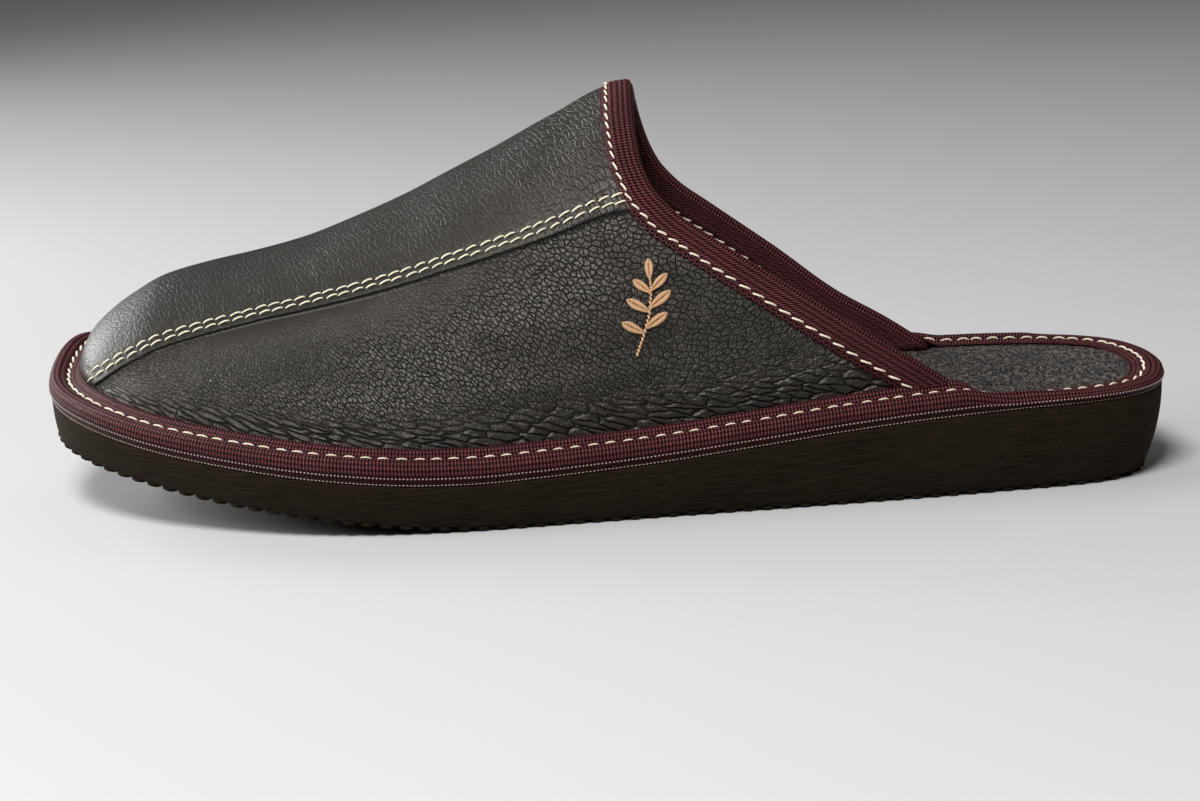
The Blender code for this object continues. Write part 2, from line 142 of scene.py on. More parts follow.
class Table:
    """Rows read smoothly by the name of a column, against the first column or its root."""

    def __init__(self, names, rows, root=False):
        data = np.array(rows, dtype=float).T
        self.column = dict(zip(names.split(), data))
        self.key = np.sqrt(data[0]) if root else data[0]

    def __call__(self, name, at):
        return curve(self.key, self.column[name], at)


# Plan of the sole edge: one row per section, heel to toe
TOE_TIP = (146.7, -18)
HEEL_TIP = (-148.4, 3)
EDGE_STEPS = 9600
PLAN = Table("x lateral medial", (
    (-146, 16.2, -12),
    (-139.6, 24.9, -23.2),
    (-129, 30.4, -30),
    (-112, 33.8, -34.2),
    (-88, 37.2, -37.8),
    (-56, 40.8, -41.6),
    (-24, 43.8, -44.4),
    (8, 47.2, -47.4),
    (36, 50.2, -50.4),
    (60, 50.6, -51.8),
    (82, 47.6, -52),
    (100, 42, -51.4),
    (116, 34.8, -50),
    (128, 26.8, -48),
    (136, 18.8, -45.4),
    (141.4, 10.6, -41.4),
    (145.2, -1, -33),
))

# Side profile of the foam sole
PROFILE = Table("x rise thick tuck inner_lift", (
    (-150, 0, 22.8, 5, 0),
    (-110, 0, 22.4, 5, 0),
    (-88, 0, 21.6, 4.6, 0),
    (-64, 0, 19.9, 4.4, 0),
    (-40, 0, 17.4, 4, 0),
    (-13, 0, 14.8, 3.6, 0),
    (10, 0, 13.4, 3.4, 0),
    (22, 0, 12.9, 3.3, 0),
    (40, 0.9, 12.1, 3.2, 0),
    (62, 3.3, 11.3, 3, 0.2),
    (88, 7.1, 10.7, 2.9, 1),
    (116, 12, 10, 2.6, 2.2),
    (134, 15.7, 10, 1.8, 3.3),
    (149, 18.9, 10.6, 1.1, 4.2),
))

# Tape folded round the sole edge: inset, height above the foam rim beside the upper and at the heel
TAPE_ROWS = np.array((
    (0.9, 0.3, 0.3),
    (0.25, 1.2, 1),
    (0, 2.8, 2.1),
    (0.25, 4.4, 3.4),
    (1, 5.6, 4.4),
    (2.4, 6.25, 4.95),
    (3.8, 6.15, 4.75),
    (5.1, 5.95, 4.3),
    (6.4, 6.4, 4),
    (7.5, 7.05, 3.75),
    (8.35, 7.6, 3.5),
))
TAPE_BACK_ROWS = ((8, 5.6, 3.3), (2.1, 5.6, 3.3), (2.1, 0.9, 0.9), (8, 0.9, 0.9), (8, 0.3, 0.3))
TAPE_BACK_RUN = (0.9, 6.8, 11.5, 17.4, 18, 25.1)
HEEL_FALL = {"lateral": -92, "medial": -87, "over": 9}
HEEL_CREST = {"from": -117, "to": -99, "more": 0.6, "less": 0.75, "inset": 2.6, "wide": 1.6}
HEEL_SINK = {"from": -97, "over": 10, "deep": 1.3, "insole_ahead": 6}

# Upper: one row per section, counted back from the toe
FOOT_INSET = 8.6
FOOT_HEIGHT = 5.3
UPPER = Table("back height ridge crown_lateral side_lateral crown_medial side_medial", (
    (0, 0, -18, 2, 1.9, 2, 1.9),
    (2.6, 8.9, -18.6, 2, 1.8, 2, 1.9),
    (7.6, 14.8, -20, 1.9, 1.65, 2.1, 1.9),
    (13.6, 20.1, -21.5, 1.8, 1.5, 2, 1.75),
    (22, 26.1, -23.5, 1.7, 1.42, 2, 1.75),
    (33, 30.9, -25, 1.62, 1.36, 2, 1.75),
    (46.6, 35.6, -26, 1.6, 1.35, 2, 1.75),
    (60.3, 41, -26, 1.6, 1.32, 2, 1.75),
    (74.3, 47.9, -25.6, 1.6, 1.28, 2, 1.75),
    (88, 54.8, -25, 1.6, 1.25, 2, 1.75),
    (101.6, 62, -24, 1.6, 1.27, 2, 1.75),
    (115.6, 68.8, -22.8, 1.6, 1.3, 2, 1.75),
    (129, 75.1, -21.6, 1.6, 1.34, 2, 1.75),
    (147.3, 82, -20, 1.6, 1.4, 2, 1.75),
    (250, 83, -19, 1.6, 1.4, 2, 1.75),
), root=True)

# Collar edge: share of the section height against its place along the foot
COLLAR = Table("share lateral medial", (
    (0, -91, -87.6),
    (0.07, -83, -79.6),
    (0.185, -69.6, -65.4),
    (0.36, -50.2, -49),
    (0.54, -30.5, -31.6),
    (0.63, -21.3, -23.2),
    (0.72, -15.2, -17.6),
    (0.82, -12.3, -14.3),
    (0.94, -11.3, -12),
    (1, -11.3, -11.3),
))

# Lower edge of the lapped top panel as a share of the section height
LAP_EDGE = Table("back share", (
    (0, 0.05),
    (5, 0.07),
    (9, 0.24),
    (15, 0.41),
    (20.5, 0.49),
    (25.6, 0.55),
    (36, 0.615),
    (46.6, 0.66),
    (55, 0.683),
    (65, 0.69),
    (80, 0.686),
    (100, 0.678),
    (114, 0.67),
    (126, 0.661),
    (142, 0.661),
    (250, 0.661),
), root=True)


def closed_spline(points, count):
    """Periodic cubic through the points, at even steps of its chords."""
    step = np.roll(points, -1, axis=0) - points
    chord = np.hypot(*step.T)
    knots = np.concatenate([[0], np.cumsum(chord)])
    rate = step / chord[:, None]
    before = np.roll(chord, 1)
    system = np.diag(2 * (before + chord))
    system = system + np.roll(np.diag(chord), 1, axis=1) + np.roll(np.diag(before), -1, axis=1)
    bend = np.linalg.solve(system, 6 * (rate - np.roll(rate, 1, axis=0)))
    at = np.linspace(0, knots[-1], count, endpoint=False)
    i = np.clip(np.searchsorted(knots, at, side="right") - 1, 0, len(points) - 1)
    j = (i + 1) % len(points)
    h = chord[i][:, None]
    s = (at - knots[i])[:, None]
    r = h - s
    line = (points[i] / h - bend[i] * h / 6) * r + (points[j] / h - bend[j] * h / 6) * s
    return line + bend[i] * r ** 3 / (6 * h) + bend[j] * s ** 3 / (6 * h)


def sole_edge():
    """Closed plan curve of the sole edge, toe tip first, then the lateral side back to the heel."""
    outer, inner = (np.column_stack([PLAN.key, PLAN.column[side]]) for side in SIDES)
    return closed_spline(np.concatenate([[TOE_TIP], outer[::-1], [HEEL_TIP], inner]), EDGE_STEPS)


EDGE = sole_edge()
EDGE_AHEAD = unit(np.roll(EDGE, -1, axis=0) - np.roll(EDGE, 1, axis=0))
EDGE_OUT = np.stack([EDGE_AHEAD[:, 1], -EDGE_AHEAD[:, 0]], axis=1)
TOE_INDEX = int(np.argmax(EDGE[:, 0]))
HEEL_INDEX = int(np.argmin(EDGE[:, 0]))


def branch(side):
    """Indices along one side of the sole edge from the toe to the heel."""
    count = SIGN[side] * (HEEL_INDEX - TOE_INDEX) % EDGE_STEPS + 1
    return (TOE_INDEX + SIGN[side] * np.arange(count)) % EDGE_STEPS


BRANCH = {side: branch(side) for side in SIDES}


def sole_loop(pairs):
    """Even steps along the sole edge, by the outer side to the heel and back by the inner side."""
    found = []
    for indices in BRANCH.values():
        run = lengths(EDGE[indices])
        want = np.linspace(0, run[-1], pairs + 1)
        found.append(indices[np.clip(np.searchsorted(run, want), 0, len(run) - 1)])
    return np.concatenate([found[0], found[1][-2:0:-1]])


def rise(x, y):
    """Height of the foam's underside."""
    return PROFILE("rise", x) + PROFILE("inner_lift", x) * smooth(-np.asarray(y) / 40)


def rim(x, y):
    """Height of the foam's upper rim."""
    return rise(x, y) + PROFILE("thick", x)


def inset_plan(loop, inset):
    return EDGE[loop] - EDGE_OUT[loop] * np.reshape(inset, (-1, 1))


def loop_points(loop, inset, height):
    """Points inside the sole edge, at a height over the foam's rim."""
    plan = inset_plan(loop, inset)
    return np.column_stack([plan, rim(*plan.T) + height])


FOOT = EDGE - EDGE_OUT * FOOT_INSET
POLE = FOOT[TOE_INDEX]


def by_foot(side, x, values):
    """Values along one side of the upper's lower edge, read at places along the foot."""
    return np.interp(-x, np.maximum.accumulate(-FOOT[BRANCH[side], 0]), values)


def foot_line(side, x):
    """Across-place of the upper's lower edge on one side."""
    return by_foot(side, x, FOOT[BRANCH[side], 1])


def toe_root(x):
    return np.sqrt(np.maximum(POLE[0] - x, 0))


def upper_point(x, angle, side):
    """Mid shape of the upper: place along the foot and angle from its lower edge to the ridge."""
    back = toe_root(x)
    ridge = UPPER("ridge", back) + (POLE[1] - TOE_TIP[1]) * np.exp(-back)
    edge = foot_line(side, x)
    base = rim(x, edge) + FOOT_HEIGHT
    top = rim(x, ridge) + FOOT_HEIGHT + UPPER("height", back)
    out = np.maximum(np.cos(angle), 0) ** (2 / UPPER("crown_" + side, back))
    high = np.maximum(np.sin(angle), 0) ** (2 / UPPER("side_" + side, back))
    return np.stack([x + 0 * high, ridge + (edge - ridge) * out, base + (top - base) * high], axis=-1)


def above_foot(x, points, side):
    """Height of points of the upper over its lower edge."""
    return points[..., 2] - rim(x, foot_line(side, x)) - FOOT_HEIGHT


def share_angle(x, share, side):
    """Angle at which a share of the section height lies."""
    return np.arcsin(np.clip(share, 0, 1) ** (UPPER("side_" + side, toe_root(x)) / 2))


def lap_angle(x, side):
    """Angle at which the top panel's edge lies in a section."""
    return share_angle(x, LAP_EDGE("share", toe_root(x)), side)


def collar_x(angle, side):
    """Place of the collar edge along the foot."""
    return COLLAR(side, np.sin(angle) ** (2 / UPPER.column["side_" + side][-1]))


def surface_normal(x, angle, side):
    """Outward normal of the upper's mid shape."""
    high = np.minimum(angle + 0.004, UPRIGHT)
    low = np.maximum(angle - 0.004, 0.01)
    across = upper_point(x, high, side) - upper_point(x, low, side)
    back = upper_point(x - 0.4, angle, side) - upper_point(x + 0.4, angle, side)
    normal = unit(np.cross(across, back))
    flip = normal[..., 2:] + 0.35 * SIGN[side] * normal[..., 1:2] < 0
    return np.where(flip, -normal, normal)


def safe_normal(x, angle, side):
    """Outward normal that turns straight ahead at the toe."""
    keep = smooth((POLE[0] - x) / 1.6)[..., None]
    return unit(surface_normal(x, angle, side) * keep + np.array([1, 0, 0]) * (1 - keep))


def corners(grid):
    """The four corners of each cell of a grid."""
    return np.stack([grid[:-1, :-1], grid[:-1, 1:], grid[1:, 1:], grid[1:, :-1]], axis=2)


class Sheet:
    """Grids of points gathered into one mesh with a flat map in millimetres."""

    def __init__(self):
        self.points = []
        self.faces = []
        self.flat = []
        self.paint = []
        self.marks = []
        self.total = 0

    def add(self, points, marks=None):
        self.points.append(points.reshape(-1, 3))
        if marks is not None:
            self.marks.append(marks.reshape(-1, marks.shape[-1]))
        start = self.total
        self.total += len(self.points[-1])
        return np.arange(start, self.total).reshape(points.shape[:-1])

    def quads(self, index, flat=None, paint=0):
        cells = corners(index)
        self.faces.extend(cells.reshape(-1, 4).tolist())
        flat = np.zeros(index.shape + (2,)) if flat is None else flat
        self.flat.append(corners(flat).reshape(-1, 2))
        self.paint += np.broadcast_to(paint, cells.shape[:2]).ravel().tolist()

    def ring(self, points, flat=None):
        """Quads over rows of points that close on themselves."""
        index = closed(self.add(points), 1)
        self.quads(index, flat)
        return index

    def tube(self, points, flat=None):
        """A ring with a face at each end."""
        index = self.ring(points, flat)
        self.face(index[0][:-1][::-1])
        self.face(index[-1][:-1])

    def face(self, indices):
        self.faces.append([int(i) for i in indices])
        self.flat.append(np.zeros((len(indices), 2)))
        self.paint.append(0)


def make_piece(name, sheet, paints, node=None, merge=0):
    """One smooth object from a sheet, riding on the slipper."""
    mesh = bpy.data.meshes.new(name)
    points = (np.concatenate(sheet.points) + CENTRE) * MM
    mesh.from_pydata(points.tolist(), [], sheet.faces)
    layer = mesh.uv_layers.new(name="flat")
    layer.data.foreach_set("uv", np.concatenate(sheet.flat).ravel())
    mesh.polygons.foreach_set("material_index", sheet.paint)
    if sheet.marks:
        marks = np.concatenate(sheet.marks)
        for k, label in enumerate(("grain", "blend")):
            layer = mesh.attributes.new(label, "FLOAT", "POINT")
            layer.data.foreach_set("value", marks[:, k])
        for k, label in ((2, "near"), (4, "far")):
            layer = mesh.attributes.new(label, "FLOAT_VECTOR", "POINT")
            flat = np.column_stack([marks[:, k:k + 2], np.zeros(len(marks))])
            layer.data.foreach_set("vector", flat.ravel())
    work = bmesh.new()
    work.from_mesh(mesh)
    if merge:
        bmesh.ops.remove_doubles(work, verts=work.verts[:], dist=merge * MM)
    bmesh.ops.recalc_face_normals(work, faces=work.faces[:])
    for item in work.faces:
        item.smooth = True
    work.to_mesh(mesh)
    work.free()
    for paint in paints:
        mesh.materials.append(paint)
    piece = bpy.data.objects.new(name, mesh)
    bpy.context.scene.collection.objects.link(piece)
    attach(piece, "root")
    if node:
        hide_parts(node)


THREAD_RINGS = 11
THREAD_SIDES = 8
THREAD_SHIFT = 7.3


def add_threads(sheet, centres, sides, ups, widths, thick):
    """Closed flattened tubes round the centre lines of many short threads."""
    turn = (np.arange(THREAD_SIDES) * 2 * math.pi / THREAD_SIDES)[:, None]
    taper = np.sqrt(np.maximum(1 - np.linspace(-1, 1, centres.shape[1]) ** 4, 0.03))
    half = 0.5 * np.reshape(widths, (-1, 1, 1, 1)) * taper[:, None, None]
    rings = centres[:, :, None] + sides[:, :, None] * np.cos(turn) * half
    rings = rings + ups[:, :, None] * np.sin(turn) * half * thick
    around = np.linspace(0, 1, THREAD_SIDES + 1)
    for k, ring in enumerate(rings):
        flat = flat_map(lengths(centres[k]) + THREAD_SHIFT * k, around)
        sheet.tube(ring, flat.swapaxes(0, 1))


def add_stitches(sheet, path, ups, start, stop, pitch, cover, width, height, slant):
    """A row of lockstitches along a path: arched threads whose ends dive into their holes.

    The pitch is one number or one for each point of the path.
    """
    run = lengths(path)
    steps = np.broadcast_to(pitch, run.shape)
    number = np.concatenate([[0], np.cumsum(np.diff(run) * 2 / (steps[1:] + steps[:-1]))])
    first, last = np.interp([start, stop], run, number)
    count = int(last - first)
    t = np.linspace(-1, 1, THREAD_RINGS)
    middles = np.interp(first + np.arange(count) + 0.5, number, run)
    local = np.interp(middles, run, steps)
    middles = middles + RNG.normal(0, 0.05, count) * local
    reach = 0.5 * local * cover * (1 + RNG.normal(0, 0.03, count))
    centre, ahead, side, up = follow(path, ups, middles[:, None] + t * reach[:, None])
    side = unit(side)
    arch = height * (1 - np.abs(t) ** 2.6 * 1.9)
    lean = slant * t + 0.12 * np.sin(2.2 * t)
    wander = RNG.normal(0, 0.05, (count, 1))
    centre = centre + up * arch[:, None] + side * (lean + wander)[..., None]
    add_threads(sheet, centre, side, up, width * (1 + RNG.normal(0, 0.04, count)), 0.8)


def add_beads(sheet, centres, ahead, side, up, size):
    """Small ellipsoids, one per centre, with half sizes along the three directions."""
    polar = np.linspace(0, math.pi, 6)[1:-1]
    turn = (np.arange(6) * math.pi / 3)[:, None]
    for c, a, s, u in zip(centres, ahead, side, up):
        belt = np.cos(turn) * a * size[0] + np.sin(turn) * u * size[2]
        sheet.tube(np.array([c + s * size[1] * math.cos(p) + belt * math.sin(p) for p in polar]))


# Sole edge tape
TAPE_PAIRS = 400
STITCH_PAIRS = 600
BEAD_PAIRS = 800
TAPE_STEPS = 64
TAPE_HIDDEN = 3
CORD = 1.35
RIB = 0.88
TAPE_GROOVE = 5.1
TAPE_GROOVE_DEEP = 0.34
SOLE_STITCH = {"pitch": 4.35, "cover": 0.86, "width": 0.68, "height": 0.38, "slant": 0.2}
PICOT_PITCH = 0.9
PICOT_SIZE = (0.36, 0.5, 0.36)
PICOT_INSET = 8.35
EDGE_DOT_PITCH = 0.95

# Inset, height and half sizes of the two rows of dots low on the sole tape
EDGE_DOT_ROWS = ((-0.1, 2.3, (0.24, 0.2, 0.2)), (0.45, 0.5, (0.36, 0.16, 0.16)))


def tape_profile():
    """Fine section of the sole tape: rows, length across and normal."""
    run = lengths(TAPE_ROWS[:, :2])
    at = np.linspace(0, run[-1], TAPE_STEPS)
    fine = np.stack([curve(run, row, at) for row in TAPE_ROWS.T], axis=1)
    ahead = unit(np.gradient(fine[:, :2], axis=0))
    return fine, lengths(fine[:, :2]), np.stack([-ahead[:, 1], ahead[:, 0]], axis=1)


TAPE_FINE, TAPE_ACROSS, TAPE_NORMAL = tape_profile()


def outer_heel(y):
    return smooth((y - 5) / 15)


def heel_crest(edge, inset):
    """The roll stands higher beside the outer heel and lies flatter round its back."""
    x, y = edge.T
    window = smooth((HEEL_CREST["to"] - x) / 7) * smooth((x - HEEL_CREST["from"]) / 7)
    flat = smooth((HEEL_CREST["from"] - x) / 9)
    weight = math.exp(-((inset - HEEL_CREST["inset"]) / HEEL_CREST["wide"]) ** 2)
    return (HEEL_CREST["more"] * window * outer_heel(y) - HEEL_CREST["less"] * flat) * weight


def heel_sink(x, y, height):
    """How much lower the tape and the insole sit beside the outer heel."""
    near = outer_heel(y) * smooth((HEEL_SINK["from"] - x) / HEEL_SINK["over"])
    return HEEL_SINK["deep"] * near * smooth((height - 1) / 3)


def tape_height(edge, high, heel, crest=0):
    """Height of the tape over the foam's rim, which falls to its heel height."""
    x, y = edge.T
    start = np.where(y > 0, HEEL_FALL["lateral"], HEEL_FALL["medial"])
    height = high + (heel - high) * smooth((start - x) / HEEL_FALL["over"]) + crest
    return height - heel_sink(x, y, height)


def tape_relief():
    """Cords of the weave and the valley that the stitches pull in."""
    groove = np.interp(TAPE_GROOVE, TAPE_FINE[:, 0], TAPE_ACROSS)
    past = TAPE_ACROSS - groove
    cords = np.abs(np.sin(math.pi * TAPE_ACROSS / CORD)) ** 0.8 * 0.15
    valley = TAPE_GROOVE_DEEP * np.exp(-(past / 0.5) ** 2)
    lip = 0.12 * np.abs(np.sin(math.pi * past / 0.9)) * smooth((past - 0.3) / 0.4)
    return cords * smooth((-past - 0.5) / 0.8) - valley + lip


def build_sole_tape(sheet):
    loop = sole_loop(TAPE_PAIRS)
    edge = EDGE[loop]
    rings = []
    for (inset, high, heel), push, n in zip(TAPE_FINE, tape_relief(), TAPE_NORMAL):
        height = tape_height(edge, high, heel, heel_crest(edge, inset))
        rings.append(loop_points(loop, inset + n[0] * push, height + n[1] * push))
    for inset, high, heel in TAPE_BACK_ROWS:
        rings.append(loop_points(loop, inset, tape_height(edge, high, heel)))
    across = np.concatenate([TAPE_ACROSS, TAPE_ACROSS[-1] + np.array(TAPE_BACK_RUN)])
    index = closed(closed(sheet.add(np.array(rings)), 1))
    sheet.quads(index, flat_map(lengths(closed(edge)), across))


def tape_line(pairs, inset, push):
    """Closed path on the sole tape at a given inset, with its up direction."""
    loop = closed(sole_loop(pairs))
    edge = EDGE[loop]
    fine = TAPE_FINE[TAPE_HIDDEN:]
    step = np.interp(inset, fine[:, 0], np.arange(TAPE_HIDDEN, len(TAPE_FINE)))
    high, heel = (np.interp(inset, fine[:, 0], fine[:, k]) for k in (1, 2))
    n = TAPE_NORMAL[int(round(step))]
    height = tape_height(edge, high, heel, heel_crest(edge, inset))
    path = loop_points(loop, inset + n[0] * push, height + n[1] * push)
    return path, unit(np.column_stack([-EDGE_OUT[loop] * n[0], np.full(len(loop), n[1])]))


def build_sole_stitches(sheet):
    path, ups = tape_line(STITCH_PAIRS, TAPE_GROOVE, -TAPE_GROOVE_DEEP + 0.1)
    add_stitches(sheet, path, ups, 0, lengths(path)[-1], **SOLE_STITCH)


def build_sole_picots(sheet):
    """Woven loops along the selvage of the sole tape."""
    path, ups = tape_line(BEAD_PAIRS, PICOT_INSET, -0.1)
    add_beads(sheet, *follow(path, ups, even(lengths(path)[-1], PICOT_PITCH)), PICOT_SIZE)


def build_edge_dots(sheet):
    """Pale dots of the binding seam low on the sole tape and dashes along its edge."""
    loop = closed(sole_loop(BEAD_PAIRS))
    out = np.column_stack([EDGE_OUT[loop], np.full(len(loop), -0.2)])
    for inset, height, size in EDGE_DOT_ROWS:
        path = loop_points(loop, inset, height - heel_sink(*EDGE[loop].T, height))
        centre, _, _, up = follow(path, out, even(lengths(path)[-1], EDGE_DOT_PITCH))
        side = np.tile([0, 0, 1], (len(up), 1))
        add_beads(sheet, centre, unit(np.cross(up, side)), side, up, size)


# Foam sole
FOAM_PAIRS = 360
TREAD_PAIRS = 700
SOLE_TOP_INSET = 0.35
SOLE_BARREL_POWER = 2.1
FOOT_ROUND = 0.7
FOOT_ROUND_SHARE = 0.045
FOAM_LEVELS = np.concatenate([[0, 0.012, 0.03], np.linspace(0.06, 1, 26)])
FOAM_MAP_HIGH = 18
FOAM_TOP_INSET = 8
NUB_DEPTH = 0.8
NUB_PITCH_X = 4.8
NUB_PITCH_Y = 5.2
NUB_INSET = 1.75
NUB_CLEAR = 4.6
NUB_REACH = 60
NUB_RINGS = ((2.1, NUB_DEPTH + 0.3), (1.95, 0.22), (1.7, 0.04), (1.3, 0))


def build_foam(sheet):
    loop = sole_loop(FOAM_PAIRS)
    edge = EDGE[loop]
    tuck = PROFILE("tuck", edge[:, 0])
    rings = []
    for share in FOAM_LEVELS:
        inset = SOLE_TOP_INSET + (tuck - SOLE_TOP_INSET) * (1 - share) ** SOLE_BARREL_POWER
        inset = inset + FOOT_ROUND * np.maximum(1 - share / FOOT_ROUND_SHARE, 0) ** 2
        x, y = inset_plan(loop, inset).T
        low = rise(x, y) + NUB_DEPTH
        rings.append(np.column_stack([x, y, low + (rim(x, y) - low) * share]))
    rings.append(loop_points(loop, FOAM_TOP_INSET, 0))
    across = np.append(FOAM_LEVELS * FOAM_MAP_HIGH, FOAM_MAP_HIGH + FOAM_TOP_INSET)
    index = sheet.ring(np.array(rings), flat_map(lengths(closed(edge)), across))
    for row in (index[0], index[-1]):
        outer, inner = halves(row)
        for strip in zip(outer, outer[1:], inner[1:], inner):
            sheet.face(list(dict.fromkeys(strip)))


def build_tread(sheet):
    """Rows of small nubs across the underside."""
    loop = sole_loop(TREAD_PAIRS)
    line = closed(inset_plan(loop, PROFILE("tuck", EDGE[loop, 0]) + NUB_INSET))
    centres = along(line, even(lengths(line)[-1], NUB_PITCH_X, 0)).tolist()
    for row, x in enumerate(np.arange(HEEL_TIP[0] + 12, TOE_TIP[0] - 6, NUB_PITCH_X)):
        high, low = (np.interp(-x, -half[:, 0], half[:, 1]) for half in halves(line))
        places = np.arange(0.5 * NUB_PITCH_Y * (row % 2) - NUB_REACH, NUB_REACH, NUB_PITCH_Y)
        centres += [(x, y) for y in places if low + NUB_CLEAR < y < high - NUB_CLEAR]
    turn = (np.arange(8) + 0.5) * math.pi / 4
    for x, y in centres:
        rings = []
        for radius, lift in NUB_RINGS:
            px = x + np.cos(turn) * radius
            py = y + np.sin(turn) * radius * 1.05
            rings.append(np.column_stack([px, py, rise(px, py) + lift]))
        sheet.tube(np.array(rings))


INSOLE_PAIRS = 200
INSOLE_ACROSS = 40
INSOLE_EDGE = 2.4
INSOLE_LOW = 1.2
INSOLE_HIGH = 3
INSOLE_EASE = 0.5


def build_insole(sheet):
    """Leather-covered board with a softly padded top."""
    loop = sole_loop(INSOLE_PAIRS)
    t = np.linspace(0, 1, INSOLE_ACROSS)

    def raised(plan, height):
        x, y = plan[..., 0], plan[..., 1]
        sink = heel_sink(x, y + HEEL_SINK["insole_ahead"], height)
        return np.stack([x, y, rim(x, y) + (height - sink)], axis=-1)

    def plate(inset, height, pad):
        outer, inner = halves(closed(inset_plan(loop, inset)))
        plan = outer[:, None] + (inner - outer)[:, None] * t[:, None]
        x, y = plan[..., 0], plan[..., 1]
        away = np.minimum(t, 1 - t) * np.linalg.norm(inner - outer, axis=1)[:, None]
        wave = 0.16 * np.sin(0.19 * x + 0.07 * y) * np.sin(0.13 * y + 0.4)
        points = raised(plan, height)
        points[..., 2] += pad * (0.35 * smooth((away - 5.5) / 6) + wave * smooth((away - 6) / 10))
        return points

    top = plate(INSOLE_EDGE + INSOLE_EASE, INSOLE_HIGH, 1)
    for points in (top, plate(INSOLE_EDGE, INSOLE_LOW, 0)):
        sheet.quads(sheet.add(points), top[..., :2])
    wall = ((INSOLE_EASE, INSOLE_HIGH), (0, INSOLE_HIGH - INSOLE_EASE), (0, INSOLE_LOW))
    sheet.ring(np.array([raised(inset_plan(loop, INSOLE_EDGE + more), high) for more, high in wall]))


# Leather upper
WALL = 2
LAP = 0.72
FLANGE_EDGE = 2.7
FLANGE_LOW = 3.3
UPPER_STEPS = 190
UPPER_ROW_POWER = 1.6
OFFSET_STEPS = 900
SEAM_STEPS = 500
CREASE_STEPS = 48
STOP_ROUNDS = 60
FLANK_COLUMNS = 44
CROWN_COLUMNS = 24
PANEL_EDGE = ((0, 0), (-0.1, 0.2), (-0.2, 0.5), (-0.1, 0.84), (0.22, 1))
PANEL_OFFSETS = (0.6, 0.95, 1.3, 1.7, 2.1, 2.5, 2.85, 3.2, 3.55, 3.9, 4.3, 4.7, 5.2, 6)
SEAM_PITCH = 3.62
SEAM_DIMPLE = 0.16
SEAM_START = 6.7
SEAM_END_CLEAR = 3
SEAM_STITCH = {"pitch": SEAM_PITCH, "cover": 0.98, "width": 0.56, "height": 0.34, "slant": 0.2}
SEAM_TRIM = {2.1: 0, 4.3: 3.7}
EDGE_FADE_START = 3.6
EDGE_FADE_END = 5.2
MOST_OBLIQUE = 2.2

# Soft creases: side of the foot, places as (x, share of the section height), half width, depth
CREASES = (
    ("lateral", ((2, 0.62), (-4, 0.52), (-14, 0.42), (-26, 0.36)), 5.5, 0.8),
    ("lateral", ((-8, 0.3), (-22, 0.26), (-40, 0.24)), 5, 0.6),
    ("lateral", ((40, 0.6), (33, 0.5), (24, 0.43), (12, 0.4)), 6, -0.7),
    ("lateral", ((74, 0.5), (64, 0.42), (50, 0.36)), 6.5, 0.55),
    ("lateral", ((100, 0.4), (88, 0.34), (74, 0.3)), 5, -0.5),
    ("lateral", ((30, 0.22), (8, 0.19), (-14, 0.18)), 4, -0.5),
    ("lateral", ((60, 0.86), (44, 0.9), (26, 0.93)), 7, 0.4),
    ("lateral", ((14, 0.88), (4, 0.93), (-3, 0.98)), 4, 0.35),
    ("medial", ((4, 0.62), (-6, 0.5), (-20, 0.42)), 6, 0.7),
    ("medial", ((44, 0.55), (30, 0.45), (12, 0.4)), 6, -0.6),
    ("medial", ((84, 0.46), (68, 0.4), (52, 0.36)), 6, 0.5),
    ("medial", ((60, 0.88), (40, 0.92), (20, 0.94)), 7, 0.35),
)


def offset_curves(side):
    """Lines beside the panel edge, square to it: places along the foot and angles by offset."""
    x = np.linspace(POLE[0] - 5.4, -60, OFFSET_STEPS)
    lap = lap_angle(x, side)
    edge = upper_point(x, lap, side)
    across = unit(np.cross(surface_normal(x, lap, side), unit(np.gradient(edge, axis=0))))
    falls = dot(across, upper_point(x, lap + 0.02, side) - edge) < 0
    across = np.where(falls[:, None], -across, across)
    by_x = (upper_point(x + 0.3, lap, side) - upper_point(x - 0.3, lap, side)) / 0.6
    by_turn = (upper_point(x, lap + 0.01, side) - upper_point(x, lap - 0.01, side)) / 0.02
    xx, xt, tt = dot(by_x, by_x), dot(by_x, by_turn), dot(by_turn, by_turn)
    wx, wt = dot(across, by_x), dot(across, by_turn)
    det = xx * tt - xt * xt
    return x, lap, (wx * tt - wt * xt) / det, (wt * xx - wx * xt) / det


OFFSET_CURVES = {side: offset_curves(side) for side in SIDES}


def offset_angle(x, offset, side):
    """Angle of a line that runs beside the panel edge at a distance, below it where negative."""
    if offset <= 0:
        return lap_angle(x, side) + 0.012 * offset
    at, lap, move, turn = OFFSET_CURVES[side]
    far = np.minimum.accumulate(at + move * offset)
    angle = np.interp(-x, -far, lap + turn * offset)
    past = smooth((x - far[0]) / np.maximum(POLE[0] - far[0], 0.5))
    return np.maximum(angle * (1 - past), lap_angle(x, side) + 0.004 * offset)


def column_angle(kind, value, x, side):
    if kind == "flank":
        return value * lap_angle(x, side)
    if kind == "offset":
        return offset_angle(x, value, side)
    start = offset_angle(x, PANEL_OFFSETS[-1], side)
    return start + (UPRIGHT - start) * value


def column_stop(kind, value, side):
    """Where a column of the upper meets the collar edge."""
    x = -40
    for _ in range(STOP_ROUNDS):
        x = 0.5 * x + 0.5 * float(collar_x(column_angle(kind, value, np.array([x]), side), side)[0])
    return x


